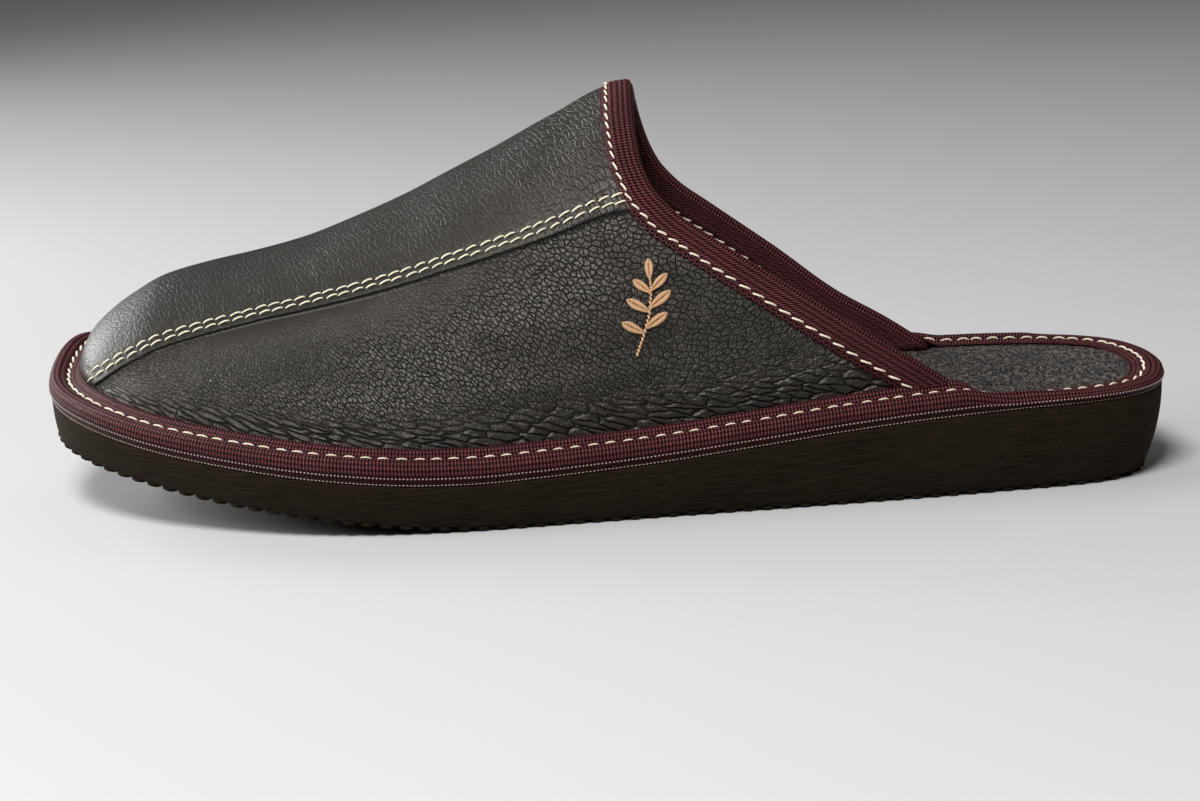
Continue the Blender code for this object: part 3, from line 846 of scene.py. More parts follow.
def edge_slant(angle, side):
    """How much longer than its width a step along the foot is at the collar edge."""
    low = np.maximum(angle - 0.01, 0)
    high = np.minimum(angle + 0.01, UPRIGHT)
    run = unit(upper_point(collar_x(high, side), high, side) - upper_point(collar_x(low, side), low, side))
    stop = collar_x(angle, side)
    way = unit(upper_point(stop + 0.5, angle, side) - upper_point(stop - 0.5, angle, side))
    return np.minimum(1 / np.maximum(np.linalg.norm(np.cross(run, way), axis=-1), 1e-3), MOST_OBLIQUE)


def panel_lift(x, angle, side):
    """Thickness of the lapped panel where it shows, thinned under both tapes."""
    above = smooth((above_foot(x, upper_point(x, angle, side), side) - 1.6) / 2.4)
    away = (x - collar_x(angle, side)) / edge_slant(angle, side)
    return LAP * above * smooth((away - EDGE_FADE_START) / (EDGE_FADE_END - EDGE_FADE_START))


def seam_path(offset, side):
    """Line beside the panel edge from the collar to the toe, with normals."""
    stop = column_stop("offset", offset, side)
    x = POLE[0] - (POLE[0] - stop) * np.linspace(1, 0, SEAM_STEPS) ** UPPER_ROW_POWER
    angle = offset_angle(x, offset, side)
    normal = safe_normal(x, angle, side)
    return x, upper_point(x, angle, side) + normal * panel_lift(x, angle, side)[:, None], normal


def crease_push(points, side):
    """Sum of the soft troughs and ridges on one side."""
    push = np.zeros(points.shape[:-1])
    for where, places, width, depth in CREASES:
        if where != side:
            continue
        x, share = through(places, CREASE_STEPS).T
        line = upper_point(x, share_angle(x, share, side), side)
        strength = np.sin(np.linspace(0.12, math.pi - 0.12, len(x))) ** 0.6
        best = np.zeros(points.shape[:-1])
        for centre, power in zip(line, strength):
            near = np.sum((points - centre) ** 2, axis=-1)
            best = np.maximum(best, power * np.exp(-near / (width * width)))
        push -= depth * best
    return push


NEAR_CELL = (1.44, 1.22)
FAR_CELL = (5.1, 1.78)
TOP_CELL = (1.6, 1.1)
TOP_SLANT = 2.2
GRAIN_LEAN = 0.55
FAR_LEAN = 1.3

# Slope of the grain rows against the length along the foot from the toe
FLOW_ROWS = np.array(((0, -0.45), (45, -0.2), (75, 0.6), (100, 1.1), (155, 0.95), (185, 0.45),
                      (215, 0.05), (330, 0)))


def grain_rows(run):
    """Height that the grain rows have lost along the foot."""
    at = np.arange(0, FLOW_ROWS[-1, 0])
    return np.interp(run, at, np.cumsum(np.interp(at, *FLOW_ROWS.T)))


def grain_marks(x, up, below, away, side, on_top):
    """Depth of the grain, share of the long cells and both cell maps on the unrolled leather."""
    run = by_foot(side, x, lengths(FOOT[BRANCH[side]]))
    rear = smooth((70 - x) / 70)
    low = smooth((16 - up) / 12)
    front = 0.12 + 0.9 * smooth((below - 1) / 20) + 0.1 * low
    force = np.maximum(front + (0.95 + 0.15 * low - front) * rear, 0.5 * smooth((x - 85) / 25))
    near = ((run - GRAIN_LEAN * up) / NEAR_CELL[0], (up + grain_rows(run)) / NEAR_CELL[1])
    if on_top:
        force = 0.3 + 0.55 * smooth((30 - x) / 40)
        low = np.zeros_like(low)
        long = math.hypot(1, TOP_SLANT)
        near = ((TOP_SLANT * away - x) / (long * TOP_CELL[0]), (TOP_SLANT * x + away) / (long * TOP_CELL[1]))
    sway = 1.8 * np.sin(run / 15) * smooth(up / 12) + 0.12 * run
    u, v = (run + FAR_LEAN * up) / FAR_CELL[0], (up + sway) / FAR_CELL[1]
    turn = math.sqrt(0.5)
    return np.stack([force, low, *near, (u - v) * turn, (u + v) * turn], axis=-1)


# Numbers of the upper's materials
FLANK_PAINT, TOP_PAINT, LINING_PAINT, CUT_PAINT = range(4)


def upper_side(side):
    """Columns of one side from the flange up to the ridge: outer, inner, marks and paints."""
    kinds = [("flank", s, 0) for s in np.linspace(0, 1, FLANK_COLUMNS)[:-1]]
    kinds += [("offset", off, lift) for off, lift in PANEL_EDGE]
    kinds += [("offset", off, 1) for off in PANEL_OFFSETS]
    kinds += [("crown", s, 1) for s in np.linspace(0, 1, CROWN_COLUMNS)[1:]]
    t = np.linspace(0, 1, UPPER_STEPS) ** UPPER_ROW_POWER
    seams = {row: seam_path(row, side)[:2] for row in SEAM_TRIM}
    stops = [column_stop(kind, value, side) for kind, value, lift in kinds]
    places = [POLE[0] - (POLE[0] - stop) * t for stop in stops]
    angles = [column_angle(kind, value, x, side) for (kind, value, lift), x in zip(kinds, places)]
    bases = np.array([upper_point(x, angle, side) for x, angle in zip(places, angles)])
    steps = np.linalg.norm(np.diff(bases[:, :, 1:], axis=0), axis=2)
    ups = np.concatenate([np.zeros((1, len(t))), np.cumsum(steps, axis=0)])
    outer, inner, marks, paints = [], [], [], []
    for (kind, value, lift), stop, x, angle, base, up in zip(kinds, stops, places, angles, bases, ups):
        normal = safe_normal(x, angle, side)
        fade = smooth((above_foot(x, base, side) - 2) / 4)
        push = lift * panel_lift(x, angle, side)
        push = push + crease_push(base, side) * fade * smooth((x - stop - 5) / 8)
        if kind == "offset" and lift == 1:
            for row, (row_x, row_points) in seams.items():
                length = np.interp(x, row_x, lengths(row_points))
                wave = 0.7 - 0.3 * np.cos(2 * math.pi * length / SEAM_PITCH)
                push = push - SEAM_DIMPLE * wave * np.exp(-((value - row) / 0.5) ** 2) * fade
        outer.append(base + normal * push[:, None])
        inner.append(base - normal * WALL)
        away = (ups[-1] - up) * SIGN[side]
        marks.append(grain_marks(x, up, ups[FLANK_COLUMNS - 1] - up, away, side, lift > 0))
        panel = CUT_PAINT if lift < 0.9 else TOP_PAINT
        paints.append(FLANK_PAINT if kind == "flank" else panel)
    inner[0] = inner[0] - np.array([0, 0, FOOT_HEIGHT - FLANGE_LOW])
    flange = inset_plan(BRANCH[side], FLANGE_EDGE)
    edge = np.stack([by_foot(side, places[0], row) for row in flange.T], axis=-1)
    for rows, height in ((outer, FOOT_HEIGHT), (inner, FLANGE_LOW)):
        rows.insert(0, np.column_stack([edge, rim(*edge.T) + height]))
    marks.insert(0, marks[0])
    paints.insert(0, FLANK_PAINT)
    return outer, inner, marks, paints


def build_upper(sheet):
    left, right = (upper_side(side) for side in SIDES)
    outer, inner, marks = (np.stack(a + b[-2::-1], axis=1) for a, b in zip(left[:3], right[:3]))
    top = sheet.add(outer, marks)
    low = sheet.add(inner, marks)
    sheet.quads(top, paint=left[3][:-1] + right[3][-2::-1])
    sheet.quads(low[:, ::-1], paint=LINING_PAINT)
    sheet.quads(np.stack([top[-1], low[-1]]), paint=CUT_PAINT)
    for k in (0, -1):
        sheet.quads(np.stack([top[:, k], low[:, k]]), paint=LINING_PAINT)


def build_seam_stitches(sheet):
    for side in SIDES:
        for row, trim in SEAM_TRIM.items():
            x, path, normal = seam_path(row, side)
            stop = lengths(path)[np.argmax(above_foot(x, path, side) < SEAM_END_CLEAR)] - trim
            add_stitches(sheet, path - normal * 0.1, normal, SEAM_START, stop, **SEAM_STITCH)


LINT_COUNT = 240
LINT_LONG = (0.5, 1.5)
LINT_WIDE = 0.11
LINT_RINGS = 6
LINT_CLEAR = (9, 14)


def build_seam_lint(sheet):
    """Short fibres that stand out from the cut edge of the top panel."""
    t = np.linspace(0, 1, LINT_RINGS)
    for side in SIDES:
        _, path, normal = seam_path(0, side)
        at = RNG.uniform(LINT_CLEAR[0], lengths(path)[-1] - LINT_CLEAR[1], LINT_COUNT)
        root = along(path, at)
        out = unit(along(normal, at))
        ahead = unit(along(path, at + 0.5) - root)
        down = np.cross(ahead, out)
        down = down * -np.sign(down[:, 2:])
        reach = RNG.uniform(*LINT_LONG, LINT_COUNT)
        drift, curl = RNG.normal(0, 0.55, (2, LINT_COUNT, 1))
        way = unit(0.8 * down + ahead * drift + 0.25 * out)
        bend = unit(ahead * curl + 0.5 * out)
        step = (reach[:, None] * t)[:, :, None]
        centres = (root - 0.3 * out)[:, None] + way[:, None] * step
        centres = centres + 0.45 * bend[:, None] * step * t[:, None]
        flank = unit(np.cross(way, out))
        sides, ups = (np.repeat(v[:, None], LINT_RINGS, axis=1) for v in (flank, np.cross(flank, way)))
        add_threads(sheet, centres, sides, ups, np.full(LINT_COUNT, LINT_WIDE), 1)


# Collar edge tape
COLLAR_STATIONS = 480
COLLAR_STEPS = 1500
COLLAR_LINE = 700
COLLAR_RISE = 1.3
COLLAR_END = 6.2
COLLAR_GROOVE = 5.2
COLLAR_GROOVE_DEEP = 0.3
COLLAR_BULGE = 1.45
COLLAR_TAIL = 3.5
COLLAR_LIP = ((0.25, 0.1), (0, 0.45), (0.12, 0.85), (0.4, 1.12))
COLLAR_STITCH = {"cover": 0.88, "width": 0.58, "height": 0.34, "slant": 0.16}
COLLAR_PITCH = (4.05, 3.35)
LOOP_PITCH = 1.75
LOOP_LONG = 0.62
LOOP_WIDE = 0.5
LOOP_YARN = 0.36


def collar_stations(count):
    """Even stations along the collar edge from the lateral foot to the medial foot, and its length."""
    angle = np.linspace(0, UPRIGHT, COLLAR_STEPS)
    lateral, medial = (upper_point(collar_x(angle, side), angle, side) for side in SIDES)
    run = lengths(np.concatenate([lateral, medial[::-1][1:]]))
    mark = np.concatenate([angle, math.pi - angle[::-1][1:]])
    return np.interp(np.linspace(0, run[-1], count), run, mark), run[-1]


def collar_at(mark, d):
    """Point and normal of the upper a distance in from the collar edge."""
    point = np.zeros((len(mark), 3))
    normal = np.zeros((len(mark), 3))
    outer = mark <= UPRIGHT
    for side, pick, angle in (("lateral", outer, mark), ("medial", ~outer, math.pi - mark)):
        angle = angle[pick]
        x = collar_x(angle, side) + d * edge_slant(angle, side)
        point[pick] = upper_point(x, angle, side)
        normal[pick] = safe_normal(x, angle, side)
    return point, normal


def collar_cord(across):
    return 0.24 * abs(math.sin(math.pi * across / CORD)) ** 0.8


def collar_section():
    """Rows of one leg of the folded tape: place and rise, from its lip to the fold."""
    leg = [(COLLAR_END - d, h) for d, h in COLLAR_LIP]
    for d in np.linspace(COLLAR_END - 0.7, 0, 27):
        groove = COLLAR_GROOVE_DEEP * math.exp(-((d - COLLAR_GROOVE) / 0.5) ** 2)
        cord = collar_cord(COLLAR_END - d) * float(smooth((COLLAR_GROOVE - 0.5 - d) / 0.6))
        leg.append((d, COLLAR_RISE - groove + cord))
    return leg


def build_collar_tape(sheet):
    mark, total = collar_stations(COLLAR_STATIONS)
    edge, normal = collar_at(mark, 0)
    beyond = unit(np.cross(normal, unit(np.gradient(edge, axis=0))))
    flip = dot(edge - collar_at(mark, 2)[0], beyond) < 0
    beyond[flip] = -beyond[flip]

    def layer(d, h):
        point, out = collar_at(mark, d)
        return point + out * h

    leg = collar_section()
    rows = [layer(d, h) for d, h in leg]
    across = [COLLAR_END - d for d, h in leg]
    half = 0.5 * WALL + COLLAR_RISE
    for a in np.linspace(0, math.pi, 25)[1:-1]:
        across.append(COLLAR_END + a * half * 0.8)
        cord = collar_cord(across[-1])
        reach = beyond * ((COLLAR_BULGE + cord) * math.sin(a))
        rows.append(edge - normal * (0.5 * WALL) + normal * (half + cord) * math.cos(a) + reach)
    rows += [layer(d, -WALL - h) for d, h in leg[::-1]]
    base = across[-1] + 0.5
    across += [base + d for d, h in leg[::-1]]
    rows += [layer(COLLAR_END - 0.3, -WALL), layer(0.2, -WALL - 0.15), layer(0.2, 0.15)]
    across += [across[-1] + more for more in (1, 6, 9, 15)]
    points = np.array(rows)
    first, last = (unit(edge[k] - edge[j]) * COLLAR_TAIL for k, j in ((0, 3), (-1, -4)))
    points = np.concatenate([points[:, :1] + first, points, points[:, -1:] + last], axis=1)
    run = np.concatenate([[-COLLAR_TAIL], np.linspace(0, total, len(mark)), [total + COLLAR_TAIL]])
    index = sheet.add(points)
    sheet.quads(closed(index), flat_map(run, across))
    sheet.face(index[:, 0])
    sheet.face(index[::-1, -1])


def collar_line(d, lift, inside):
    """Path on the outer or the inner leg of the collar tape, with its up direction."""
    point, normal = collar_at(collar_stations(COLLAR_LINE)[0], d)
    if inside:
        return point - normal * (WALL + lift), -normal
    return point + normal * lift, normal


def build_collar_stitches(sheet):
    for inside in (False, True):
        path, normal = collar_line(COLLAR_GROOVE, COLLAR_RISE - COLLAR_GROOVE_DEEP + 0.1, inside)
        high = smooth((path[:, 2] - 52) / 14)
        pitch = COLLAR_PITCH[0] + (COLLAR_PITCH[1] - COLLAR_PITCH[0]) * high
        add_stitches(sheet, path, normal, 2, lengths(path)[-1] - 2, pitch, **COLLAR_STITCH)


def build_collar_picots(sheet):
    """Small yarn rings that lie flat on the leather beside the tape."""
    turn = (np.arange(10) * math.pi / 5)[:, None]
    for inside in (False, True):
        path, normal = collar_line(COLLAR_END + 0.1, 0.4, inside)
        at = np.arange(3, lengths(path)[-1] - 3, LOOP_PITCH)
        for c, a, s, u in zip(*follow(path, normal, at)):
            rows = []
            for angle in np.arange(6) * math.pi / 3:
                wide = 1 + LOOP_YARN * math.cos(angle) / LOOP_WIDE
                ring = np.cos(turn) * a * LOOP_LONG * wide + np.sin(turn) * s * LOOP_WIDE * wide
                rows.append(c + ring + u * LOOP_YARN * math.sin(angle))
            sheet.quads(closed(closed(sheet.add(np.array(rows)), 1)))


# Embroidered sprig on the outer flank: leaves as root, turn in degrees, length and width
SPRIG_X = -13.9
SPRIG_HEIGHT = 50
SPRIG_STEM = ((-3.5, -11), (-1.6, -6), (0.2, 0), (0.8, 6), (0.6, 9.5))
SPRIG_LEAVES = (
    (-1.4, -5.2, 152, 6.2, 2.5),
    (-0.9, -4, 34, 6.6, 2.6),
    (0.2, 0.2, 148, 6.6, 2.6),
    (0.3, 1.2, 38, 6.8, 2.7),
    (0.7, 5.2, 140, 5.6, 2.3),
    (0.8, 5.8, 44, 5.8, 2.3),
    (0.6, 8.8, 92, 5.2, 2.2),
)


def flank_place(p, q):
    """Point and normal on the outer flank for motif places: p toward the heel, q up the surface."""
    x = SPRIG_X - CENTRE[0] - p
    angles = np.linspace(0.02, UPRIGHT, 160)
    found = np.zeros(len(x))
    for k in range(len(x)):
        section = upper_point(np.full(len(angles), x[k]), angles, "lateral")
        run = lengths(section)
        centre = np.interp(SPRIG_HEIGHT, section[:, 2], run)
        found[k] = np.interp(centre + q[k], run, angles)
    return upper_point(x, found, "lateral"), safe_normal(x, found, "lateral")


def build_sprig(sheet):
    strands = []
    line = through(SPRIG_STEM, 22)
    for a, b in zip(line[:-1], line[1:]):
        lean = np.array([-(b - a)[1], (b - a)[0]]) * 0.28
        strands.append((a - lean, b + lean, 0.62))
    for px, py, turn, length, wide in SPRIG_LEAVES:
        way = np.array([math.cos(math.radians(turn)), math.sin(math.radians(turn))])
        cross = np.array([-way[1], way[0]])
        for k in range(15):
            t = 0.06 + 0.94 * k / 14
            spine = np.array([px, py]) + way * length * t
            half = 0.5 * wide * math.sin(math.pi * min(t * 0.96 + 0.02, 1)) ** 0.75
            for sign in (-1, 1):
                tip = spine + cross * sign * half + way * 0.55 * half
                strands.append((spine - way * 0.25, tip, 0.5))
    t = np.linspace(0, 1, THREAD_RINGS)
    first, last, widths = (np.array(row) for row in zip(*strands))
    path = first[:, None] + (last - first)[:, None] * t[:, None]
    shape = path.shape[:2] + (3,)
    centre, up = (v.reshape(shape) for v in flank_place(*path.reshape(-1, 2).T))
    push = crease_push(centre, "lateral")[..., None]
    arch = 0.1 + 0.42 * np.sqrt(np.maximum(1 - (2 * t - 1) ** 2, 0))
    centre = centre + up * (push + arch[:, None])
    side = unit(np.cross(up, unit(np.gradient(centre, axis=1))))
    add_threads(sheet, centre, side, up, widths, 0.9)


class Field:
    """An output of a node; arithmetic on it adds further nodes."""

    def __init__(self, paint, socket):
        self.paint = paint
        self.socket = socket
        self.vector = socket.type != "VALUE"

    def do(self, operation, other=0):
        kind = "VectorMath" if self.vector else "Math"
        return self.paint.node(kind, {"operation": operation}, {0: self, 1: other})

    def __add__(self, other):
        return self.do("ADD", other)

    def __sub__(self, other):
        return self.do("SUBTRACT", other)

    def __mul__(self, other):
        if self.vector and not isinstance(other, tuple):
            return self.paint.node("VectorMath", {"operation": "SCALE"}, {0: self, "Scale": other})
        return self.do("MULTIPLY", other)

    def most(self, other):
        return self.do("MAXIMUM", other)

    def wave(self):
        return self.do("SINE").do("ABSOLUTE")

    def ease(self, low, high, start=0, stop=1):
        inputs = dict(enumerate((self, low, high, start, stop)))
        return self.paint.node("MapRange", {"interpolation_type": "SMOOTHSTEP"}, inputs)

    def toward(self, other, share):
        """Number between this one and another."""
        return self.paint.node("Mix", {}, {0: share, 2: self, 3: other})


class Paint:
    """A material built from nodes, with its place in millimetres."""

    def __init__(self, name):
        self.material = bpy.data.materials.new(name)
        self.material.use_nodes = True
        self.tree = self.material.node_tree
        self.tree.nodes.clear()
        out = self.tree.nodes.new("ShaderNodeOutputMaterial")
        self.shader = self.tree.nodes.new("ShaderNodeBsdfPrincipled")
        self.tree.links.new(self.shader.outputs[0], out.inputs[0])
        self.where = self.node("TexCoord", output="Object") * 1000

    def put(self, node, inputs):
        for key, value in inputs.items():
            socket = node.inputs[key]
            if isinstance(value, Field):
                self.tree.links.new(value.socket, socket)
            else:
                socket.default_value = value + (1,) if socket.type == "RGBA" else value

    def node(self, kind, settings=None, inputs=None, output=0):
        node = self.tree.nodes.new("ShaderNode" + kind)
        for key, value in (settings or {}).items():
            setattr(node, key, value)
        self.put(node, inputs or {})
        return Field(self, node.outputs[output])

    def mark(self, name, output="Fac"):
        return self.node("Attribute", {"attribute_name": name}, output=output)

    def flat(self):
        """The two flat-map coordinates of a piece in millimetres."""
        uv = self.node("UVMap", {"uv_map": "flat"})
        return [self.node("SeparateXYZ", {}, {"Vector": uv}, k) for k in range(2)]

    def noise(self, scale, detail=2, rough=0.55, where=None, output="Fac"):
        inputs = {"Vector": where or self.where, "Scale": scale, "Detail": detail, "Roughness": rough}
        return self.node("TexNoise", {}, inputs, output)

    def warp(self, scale, detail, amount):
        return (self.noise(scale, detail, output="Color") - (0.5, 0.5, 0.5)) * amount

    def cells(self, where, scale, feature="DISTANCE_TO_EDGE", random=1, size="3D"):
        settings = {"feature": feature, "voronoi_dimensions": size}
        inputs = {"Vector": where, "Scale": scale, "Randomness": random}
        return self.node("TexVoronoi", settings, inputs, "Distance")

    def layers(self, colour, *coats):
        """A colour under coats, each with its share and its colour."""
        for share, coat in coats:
            colour = self.node("Mix", {"data_type": "RGBA"}, {0: share, 6: colour, 7: coat}, 2)
        return colour

    def finish(self, colour, rough, height=None, depth=0, **more):
        """Gives the shader its colour, roughness and relief."""
        inputs = {"Base Color": colour, "Roughness": rough}
        if height:
            inputs["Normal"] = self.node("Bump", {}, {"Height": height, "Distance": depth, "Strength": 1})
        self.put(self.shader, inputs)
        self.put(self.shader, {key.replace("_", " "): value for key, value in more.items()})
        return self.material


def tint(tone, share):
    return tuple(share * c for c in tone)


def cell_net(paint, where, slope, line):
    """Flat cells with sloping sides, and the thin creases between them."""
    edge = paint.cells(where, 1, random=0.9, size="2D")
    return edge.ease(0, slope), edge.ease(line, 0)


def leather(name, tone, rough, depth, stretch):
    """Grained leather: cells in slanting rows, split by finer creases, that turn into long ones low down;
    the creases get painted shade.
    """
    paint = Paint(name)
    warp = paint.warp(0.22, 2, 1.6)
    near = paint.mark("near", "Vector") + warp
    blend = paint.mark("blend")
    small, hair = cell_net(paint, near, 0.2, 0.07)
    row, crease = cell_net(paint, near * stretch, 0.17, 0.08)
    long, fold = cell_net(paint, paint.mark("far", "Vector") + warp * 0.5, 0.25, 0.1)
    body = row * small.ease(0, 1, 0.6, 1)
    body = body.toward(long * 1.5 + body * 0.14, blend)
    fine = paint.noise(4.5, 3, 0.65)
    force = paint.mark("grain") * paint.noise(0.16).ease(0.25, 0.6, 0.65, 1)
    # Painted shade: the creases are darkened in colour and lose most of their specular, standing in for the
    # shade that falls into them.
    shade = crease.most(hair * 0.4).toward(fold * 0.9, blend) * force
    broad = paint.noise(0.045).ease(0.3, 0.7)
    colour = paint.layers(tone, (broad, tint(tone, 1.35)), (shade, tint(tone, 0.34)))
    gloss = fine.ease(0.2, 0.8, rough - 0.05, rough + 0.07)
    return paint.finish(colour, gloss, body * force + fine * 0.09, depth, Specular_Tint=(1, 0.93, 0.86),
                        Specular_IOR_Level=shade.ease(0, 0.9, 0.38, 0.06))


LEATHER_TONE = (0.01, 0.0086, 0.0073)
LEATHER_ROUGH = 0.44
TAPE_TONE = (0.036, 0.0064, 0.0084)
# Dark tape colour, used both for random dark patches of the yarn and as painted shade in the valleys and
# near the lower edge.
TAPE_DARK_TONE_AND_SHADE = (0.0105, 0.0021, 0.0028)
# Painted highlight colour for the tops of the tape's cords.
TAPE_CREST_HIGHLIGHT = (0.118, 0.032, 0.036)
# Painted shade colour for the pinholes of the weave.
TAPE_HOLE_SHADE = (0.002, 0.0012, 0.0012)


def weave(name, shade_span):
    """Grosgrain tape: ribs across, cords along and a pinhole at each crossing; painted highlights on the
    cord tops, painted shade in the valleys and pinholes, and painted shade near its first edge.
    """
    paint = Paint(name)
    u, v = paint.flat()
    ribs = ((u + (paint.noise(0.9) - 0.5) * 0.5) * (math.pi / RIB)).wave()
    cords = (v * (math.pi / CORD)).wave()
    hole = cords.ease(0.88, 0.42) * ribs.ease(0.92, 0.55)
    fibre = paint.noise(6, 3, 0.7)
    colour = paint.layers(
        tint(TAPE_TONE, 0.7),
        (fibre.ease(0.3, 0.75), tint(TAPE_TONE, 1.25)),
        # Painted highlight on the top of each cord.
        (cords.ease(0.15, 0.8) * ribs.ease(0.4, 1), TAPE_CREST_HIGHLIGHT),
        (paint.noise(0.08).ease(0.35, 0.7, 0, 0.25), TAPE_DARK_TONE_AND_SHADE),
        # Painted shade in the valleys between the cords and between the ribs.
        ((cords.ease(0.5, 0.06) * 0.25).most(ribs.ease(0.8, 0.35) * 0.85), TAPE_DARK_TONE_AND_SHADE),
        # Painted shade in the pinholes.
        (hole * 0.97, TAPE_HOLE_SHADE),
        # Painted shade: the tape darkens towards its first edge, the lower part of the sole roll.
        (v.ease(shade_span[1], shade_span[0], 0, 0.75), tint(TAPE_DARK_TONE_AND_SHADE, 0.35)),
    )
    return paint.finish(colour, 0.55, ribs * 0.5 + fibre * 0.3 - hole * 1.3, 0.0004,
                        Specular_IOR_Level=0.2, Specular_Tint=(1, 0.5, 0.5))


def thread(name, tone, twist, sheen=0.1, shine=0.5):
    """Twisted sewing thread."""
    paint = Paint(name)
    u, v = paint.flat()
    ply = (u * (2 * math.pi / twist) + v * (4 * math.pi)).wave()
    fibre = paint.noise(6, 3, 0.7)
    colour = paint.layers(
        tint(tone, 0.72),
        (fibre.ease(0.25, 0.8), tone),
        # Painted shade in the grooves between the plies.
        (ply.ease(0.5, 0, 0, 0.4), tint(tone, 0.4)),
        (paint.noise(0.1).ease(0.4, 0.75, 0, 0.2), tint(tone, 0.6)),
    )
    return paint.finish(colour, 0.42, ply * 0.7 + fibre * 0.3, 0.00012,
                        Sheen_Weight=sheen, Specular_IOR_Level=shine)


def foam(name):
    """Ground foam rubber: streaks along the edge, specks and pores."""
    paint = Paint(name)
    streak = paint.noise(1.6, 5, 0.65, paint.where * (0.1, 0.1, 1.5))
    pore = paint.cells(paint.where, 1.6, "F1")
    speck = paint.noise(3.2, 3, 0.7)
    colour = paint.layers(
        (0.0036, 0.0024, 0.0014),
        (streak.ease(0.32, 0.7), (0.02, 0.0132, 0.0078)),
        (paint.noise(0.035, 3).ease(0.4, 0.7, 0, 0.45), (0.0165, 0.0112, 0.007)),
        (speck.ease(0.6, 0.75, 0, 0.8), (0.04, 0.027, 0.016)),
        # Painted shade in the pore hollows.
        (pore.ease(0.16, 0.05, 0, 0.7), (0.004, 0.0026, 0.002)),
    )
    height = streak * 0.8 + speck * 0.3 - pore.ease(0.2, 0.05, 0, 0.4)
    return paint.finish(colour, 0.85, height, 0.0005, Specular_IOR_Level=0.12, Specular_Tint=(1, 0.78, 0.55))


def insole_leather(name):
    """Creased thin leather: a net of fine paler wrinkles."""
    paint = Paint(name)
    bent = paint.where + paint.warp(0.2, 3, 6)
    line = paint.cells(bent * (1, 0.2, 1), 0.8).ease(0.12, 0.02)
    line = line * paint.noise(0.07).ease(0.2, 0.5, 0.4, 1)
    hair = paint.cells(bent * (1, 0.3, 1), 1.5).ease(0.12, 0.02) * 0.22
    crease = line.most(hair)
    grit = paint.noise(4, 4, 0.7)
    colour = paint.layers(
        (0.003, 0.0027, 0.0025),
        (grit.ease(0.3, 0.75), (0.0066, 0.006, 0.0055)),
        (crease * 0.85, (0.168, 0.147, 0.132)),
    )
    return paint.finish(colour, 0.55, grit * 0.3 + crease * 0.7, 0.0006, Specular_IOR_Level=0.33)


def lining(name):
    """Brushed textile inside the upper."""
    paint = Paint(name)
    knit = paint.cells(paint.where, 1.3)
    fuzz = paint.noise(5, 4, 0.75)
    colour = paint.layers(
        (0.011, 0.006, 0.0055),
        (fuzz.ease(0.3, 0.75), (0.034, 0.018, 0.016)),
        (knit.ease(0.12, 0, 0, 0.6), (0.007, 0.004, 0.004)),
    )
    return paint.finish(colour, 0.9, fuzz * 0.6 + knit * 0.6, 0.0003, Sheen_Weight=0.04)


def cut_edge(name):
    """Raw edge of the top panel with a fuzz of fibres, painted near black: partly its own dark colour,
    partly painted shade for the shadow under the lapped edge.
    """
    paint = Paint(name)
    fuzz = paint.noise(4, 4, 0.75)
    colour = paint.layers((0.0014, 0.0013, 0.0012), (fuzz.ease(0.35, 0.75), (0.01, 0.009, 0.008)))
    return paint.finish(colour, 0.85, fuzz, 0.0003)


UPPER_PAINTS = [
    leather("side_leather", LEATHER_TONE, LEATHER_ROUGH, 0.00028, (0.62, 0.88, 1)),
    leather("top_leather", LEATHER_TONE, LEATHER_ROUGH, 0.0002, (0.45, 0.85, 1)),
    lining("lining_cloth"),
    cut_edge("panel_edge"),
]
# The sole tape gets painted shade over its lower part, strongest below 1.6 mm across and gone by 4.4 mm; the
# collar tape gets none.
sole_weave = weave("sole_weave", (1.6, 4.4))
collar_weave = weave("collar_weave", (-2, -1))
selvage_yarn = thread("selvage_yarn", tint(TAPE_TONE, 1.7), 0.6, 0, 0.12)
pale_thread = thread("pale_thread", (0.96, 0.85, 0.65), 0.7)
dot_thread = thread("dot_thread", (0.5, 0.36, 0.32), 0.7)
seam_thread = thread("seam_thread", (0.96, 0.9, 0.66), 0.6)
lint_fibre = thread("lint_fibre", (0.2, 0.18, 0.155), 0.6)
sprig_thread = thread("sprig_thread", (0.7, 0.41, 0.21), 0.5)
foam_rubber = foam("foam_rubber")
insole_cover_leather = insole_leather("insole_cover_leather")

# Name, builder, materials, slot, replaced node and merging distance of each piece
PIECES = (
    ("foam_sole", build_foam, [foam_rubber], "outsole", "outsole", 0),
    ("tread_nubs", build_tread, [foam_rubber], "outsole", None, 0),
    ("insole_cover", build_insole, [insole_cover_leather], "insole", "insole", 0.01),
    ("sole_tape", build_sole_tape, [sole_weave], "sole_binding", "sole_binding", 0),
    ("sole_stitches", build_sole_stitches, [pale_thread], "sole_binding", None, 0),
    ("sole_picots", build_sole_picots, [selvage_yarn], "sole_binding", None, 0),
    ("edge_dots", build_edge_dots, [dot_thread], "sole_binding", None, 0),
    ("upper_leather", build_upper, UPPER_PAINTS, "upper", "upper", 0.004),
    ("seam_stitches", build_seam_stitches, [seam_thread], "upper", None, 0),
    ("seam_lint", build_seam_lint, [lint_fibre], "upper", None, 0),
    ("collar_tape", build_collar_tape, [collar_weave], "collar_binding", "collar_binding", 0),
    ("collar_stitches", build_collar_stitches, [pale_thread], "collar_binding", None, 0),
    ("collar_picots", build_collar_picots, [selvage_yarn], "collar_binding", None, 0),
    ("leaf_sprig", build_sprig, [sprig_thread], "upper", None, 0),
)
for name, build, paints, slot, node, merge in PIECES:
    sheet = Sheet()
    build(sheet)
    make_piece(name, sheet, paints, node, merge)


# Floor, light and camera
FLOOR_HALF = 6
CAMERA_PLACE = (-13.2, 659.83, 184.9)
CAMERA_RIGHT = (-0.9989, -0.0087, -0.0454)
CAMERA_UP = (-0.0419, -0.2419, 0.9694)
CAMERA_FORWARD = (0.0194, -0.9703, -0.2413)
LENS = 76.8
SENSOR = 36
WORLD_LIGHT = 0.04

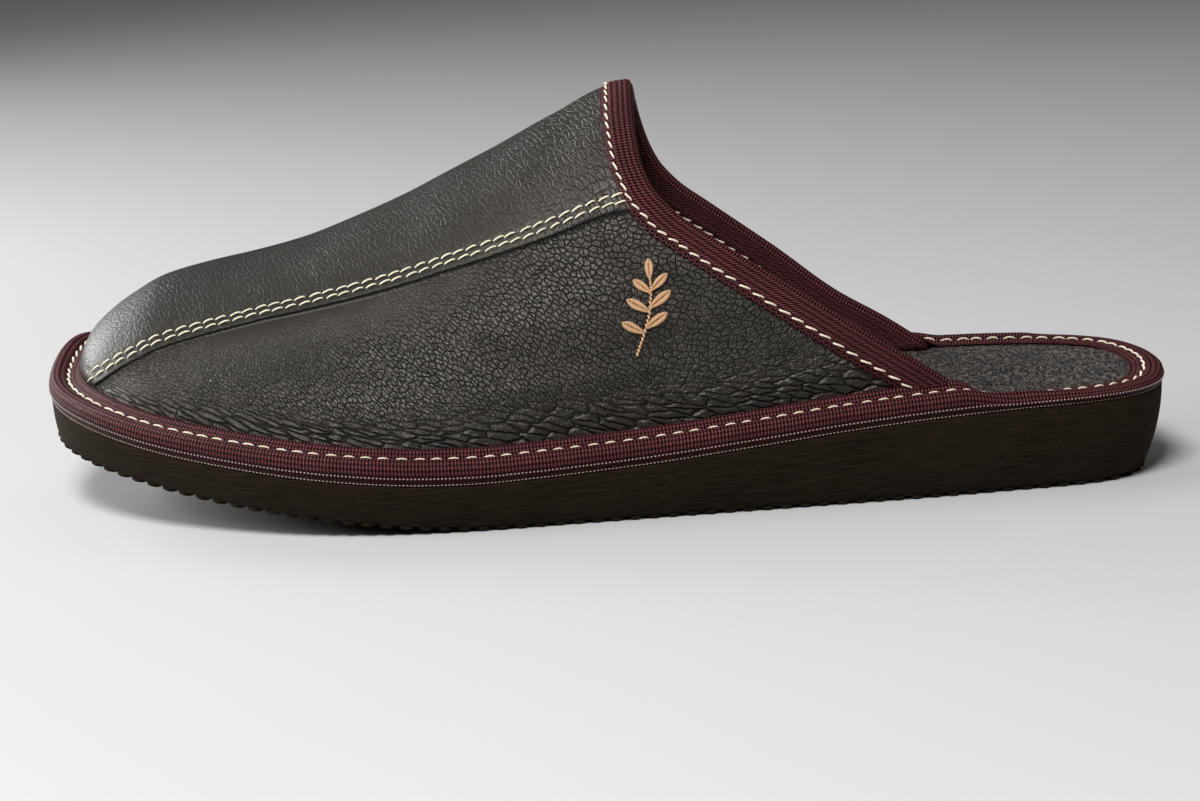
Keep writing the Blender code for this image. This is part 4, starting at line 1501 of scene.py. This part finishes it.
# Name, place, aim, size in metres and power of each light
LIGHTS = (
    ("toe_left", (1.2, 0.1, 0.55), (0.1, 0, 0.05), (0.5, 0.5), 12.2),
    ("toe_rim", (0.9, -0.62, 0.42), (0.12, 0, 0.05), (0.5, 0.45), 6.4),
    ("back_top", (0, -0.8, 1), (0, 0, 0.05), (0.9, 0.5), 1.2),
    ("toe_glint", (0.5, -0.35, 0.25), (0.13, -0.01, 0.03), (0.25, 0.25), 0.8),
    ("heel_side", (-1, 0.5, 0.45), (0, 0, 0.05), (0.5, 0.5), 1.2),
    ("front_top", (0.26, 0.7, 1.28), (0, 0, 0.05), (0.5, 0.5), 27),
)


def place_item(name, data):
    item = bpy.data.objects.new(name, data)
    bpy.context.scene.collection.objects.link(item)
    return item


def build_floor():
    paint = Paint("pale_floor")
    colour = paint.layers((0.5, 0.5, 0.5), (paint.noise(0.004), (0.53, 0.53, 0.53)))
    mesh = bpy.data.meshes.new("floor")
    corner = ((-1, -1), (1, -1), (1, 1), (-1, 1))
    mesh.from_pydata([(FLOOR_HALF * x, FLOOR_HALF * y, 0) for x, y in corner], [], [(0, 1, 2, 3)])
    mesh.materials.append(paint.finish(colour, 0.35))
    floor = place_item("floor", mesh)


def add_light(name, place, aim, size, power):
    light = bpy.data.lights.new(name, "AREA")
    light.shape = "RECTANGLE"
    light.size, light.size_y = size
    light.energy = power
    item = place_item(name, light)
    item.location = place
    item.rotation_euler = (Vector(aim) - Vector(place)).to_track_quat("-Z", "Y").to_euler()


def build_camera():
    camera = bpy.data.cameras.new("camera")
    camera.lens = LENS
    camera.sensor_width = SENSOR
    camera.clip_start = 0.01
    camera.clip_end = 50
    item = place_item("camera", camera)
    turn = Matrix((Vector(CAMERA_RIGHT), Vector(CAMERA_UP), -Vector(CAMERA_FORWARD))).transposed()
    item.matrix_world = Matrix.Translation(Vector(CAMERA_PLACE) * MM) @ turn.to_4x4()
    bpy.context.scene.camera = item


def build_world():
    world = bpy.data.worlds.new("studio")
    world.use_nodes = True
    back = world.node_tree.nodes["Background"]
    back.inputs[0].default_value = (1, 1, 1, 1)
    back.inputs[1].default_value = WORLD_LIGHT
    bpy.context.scene.world = world


build_floor()
for light in LIGHTS:
    add_light(*light)
build_camera()
build_world()
bpy.context.scene.view_settings.view_transform = "Standard"
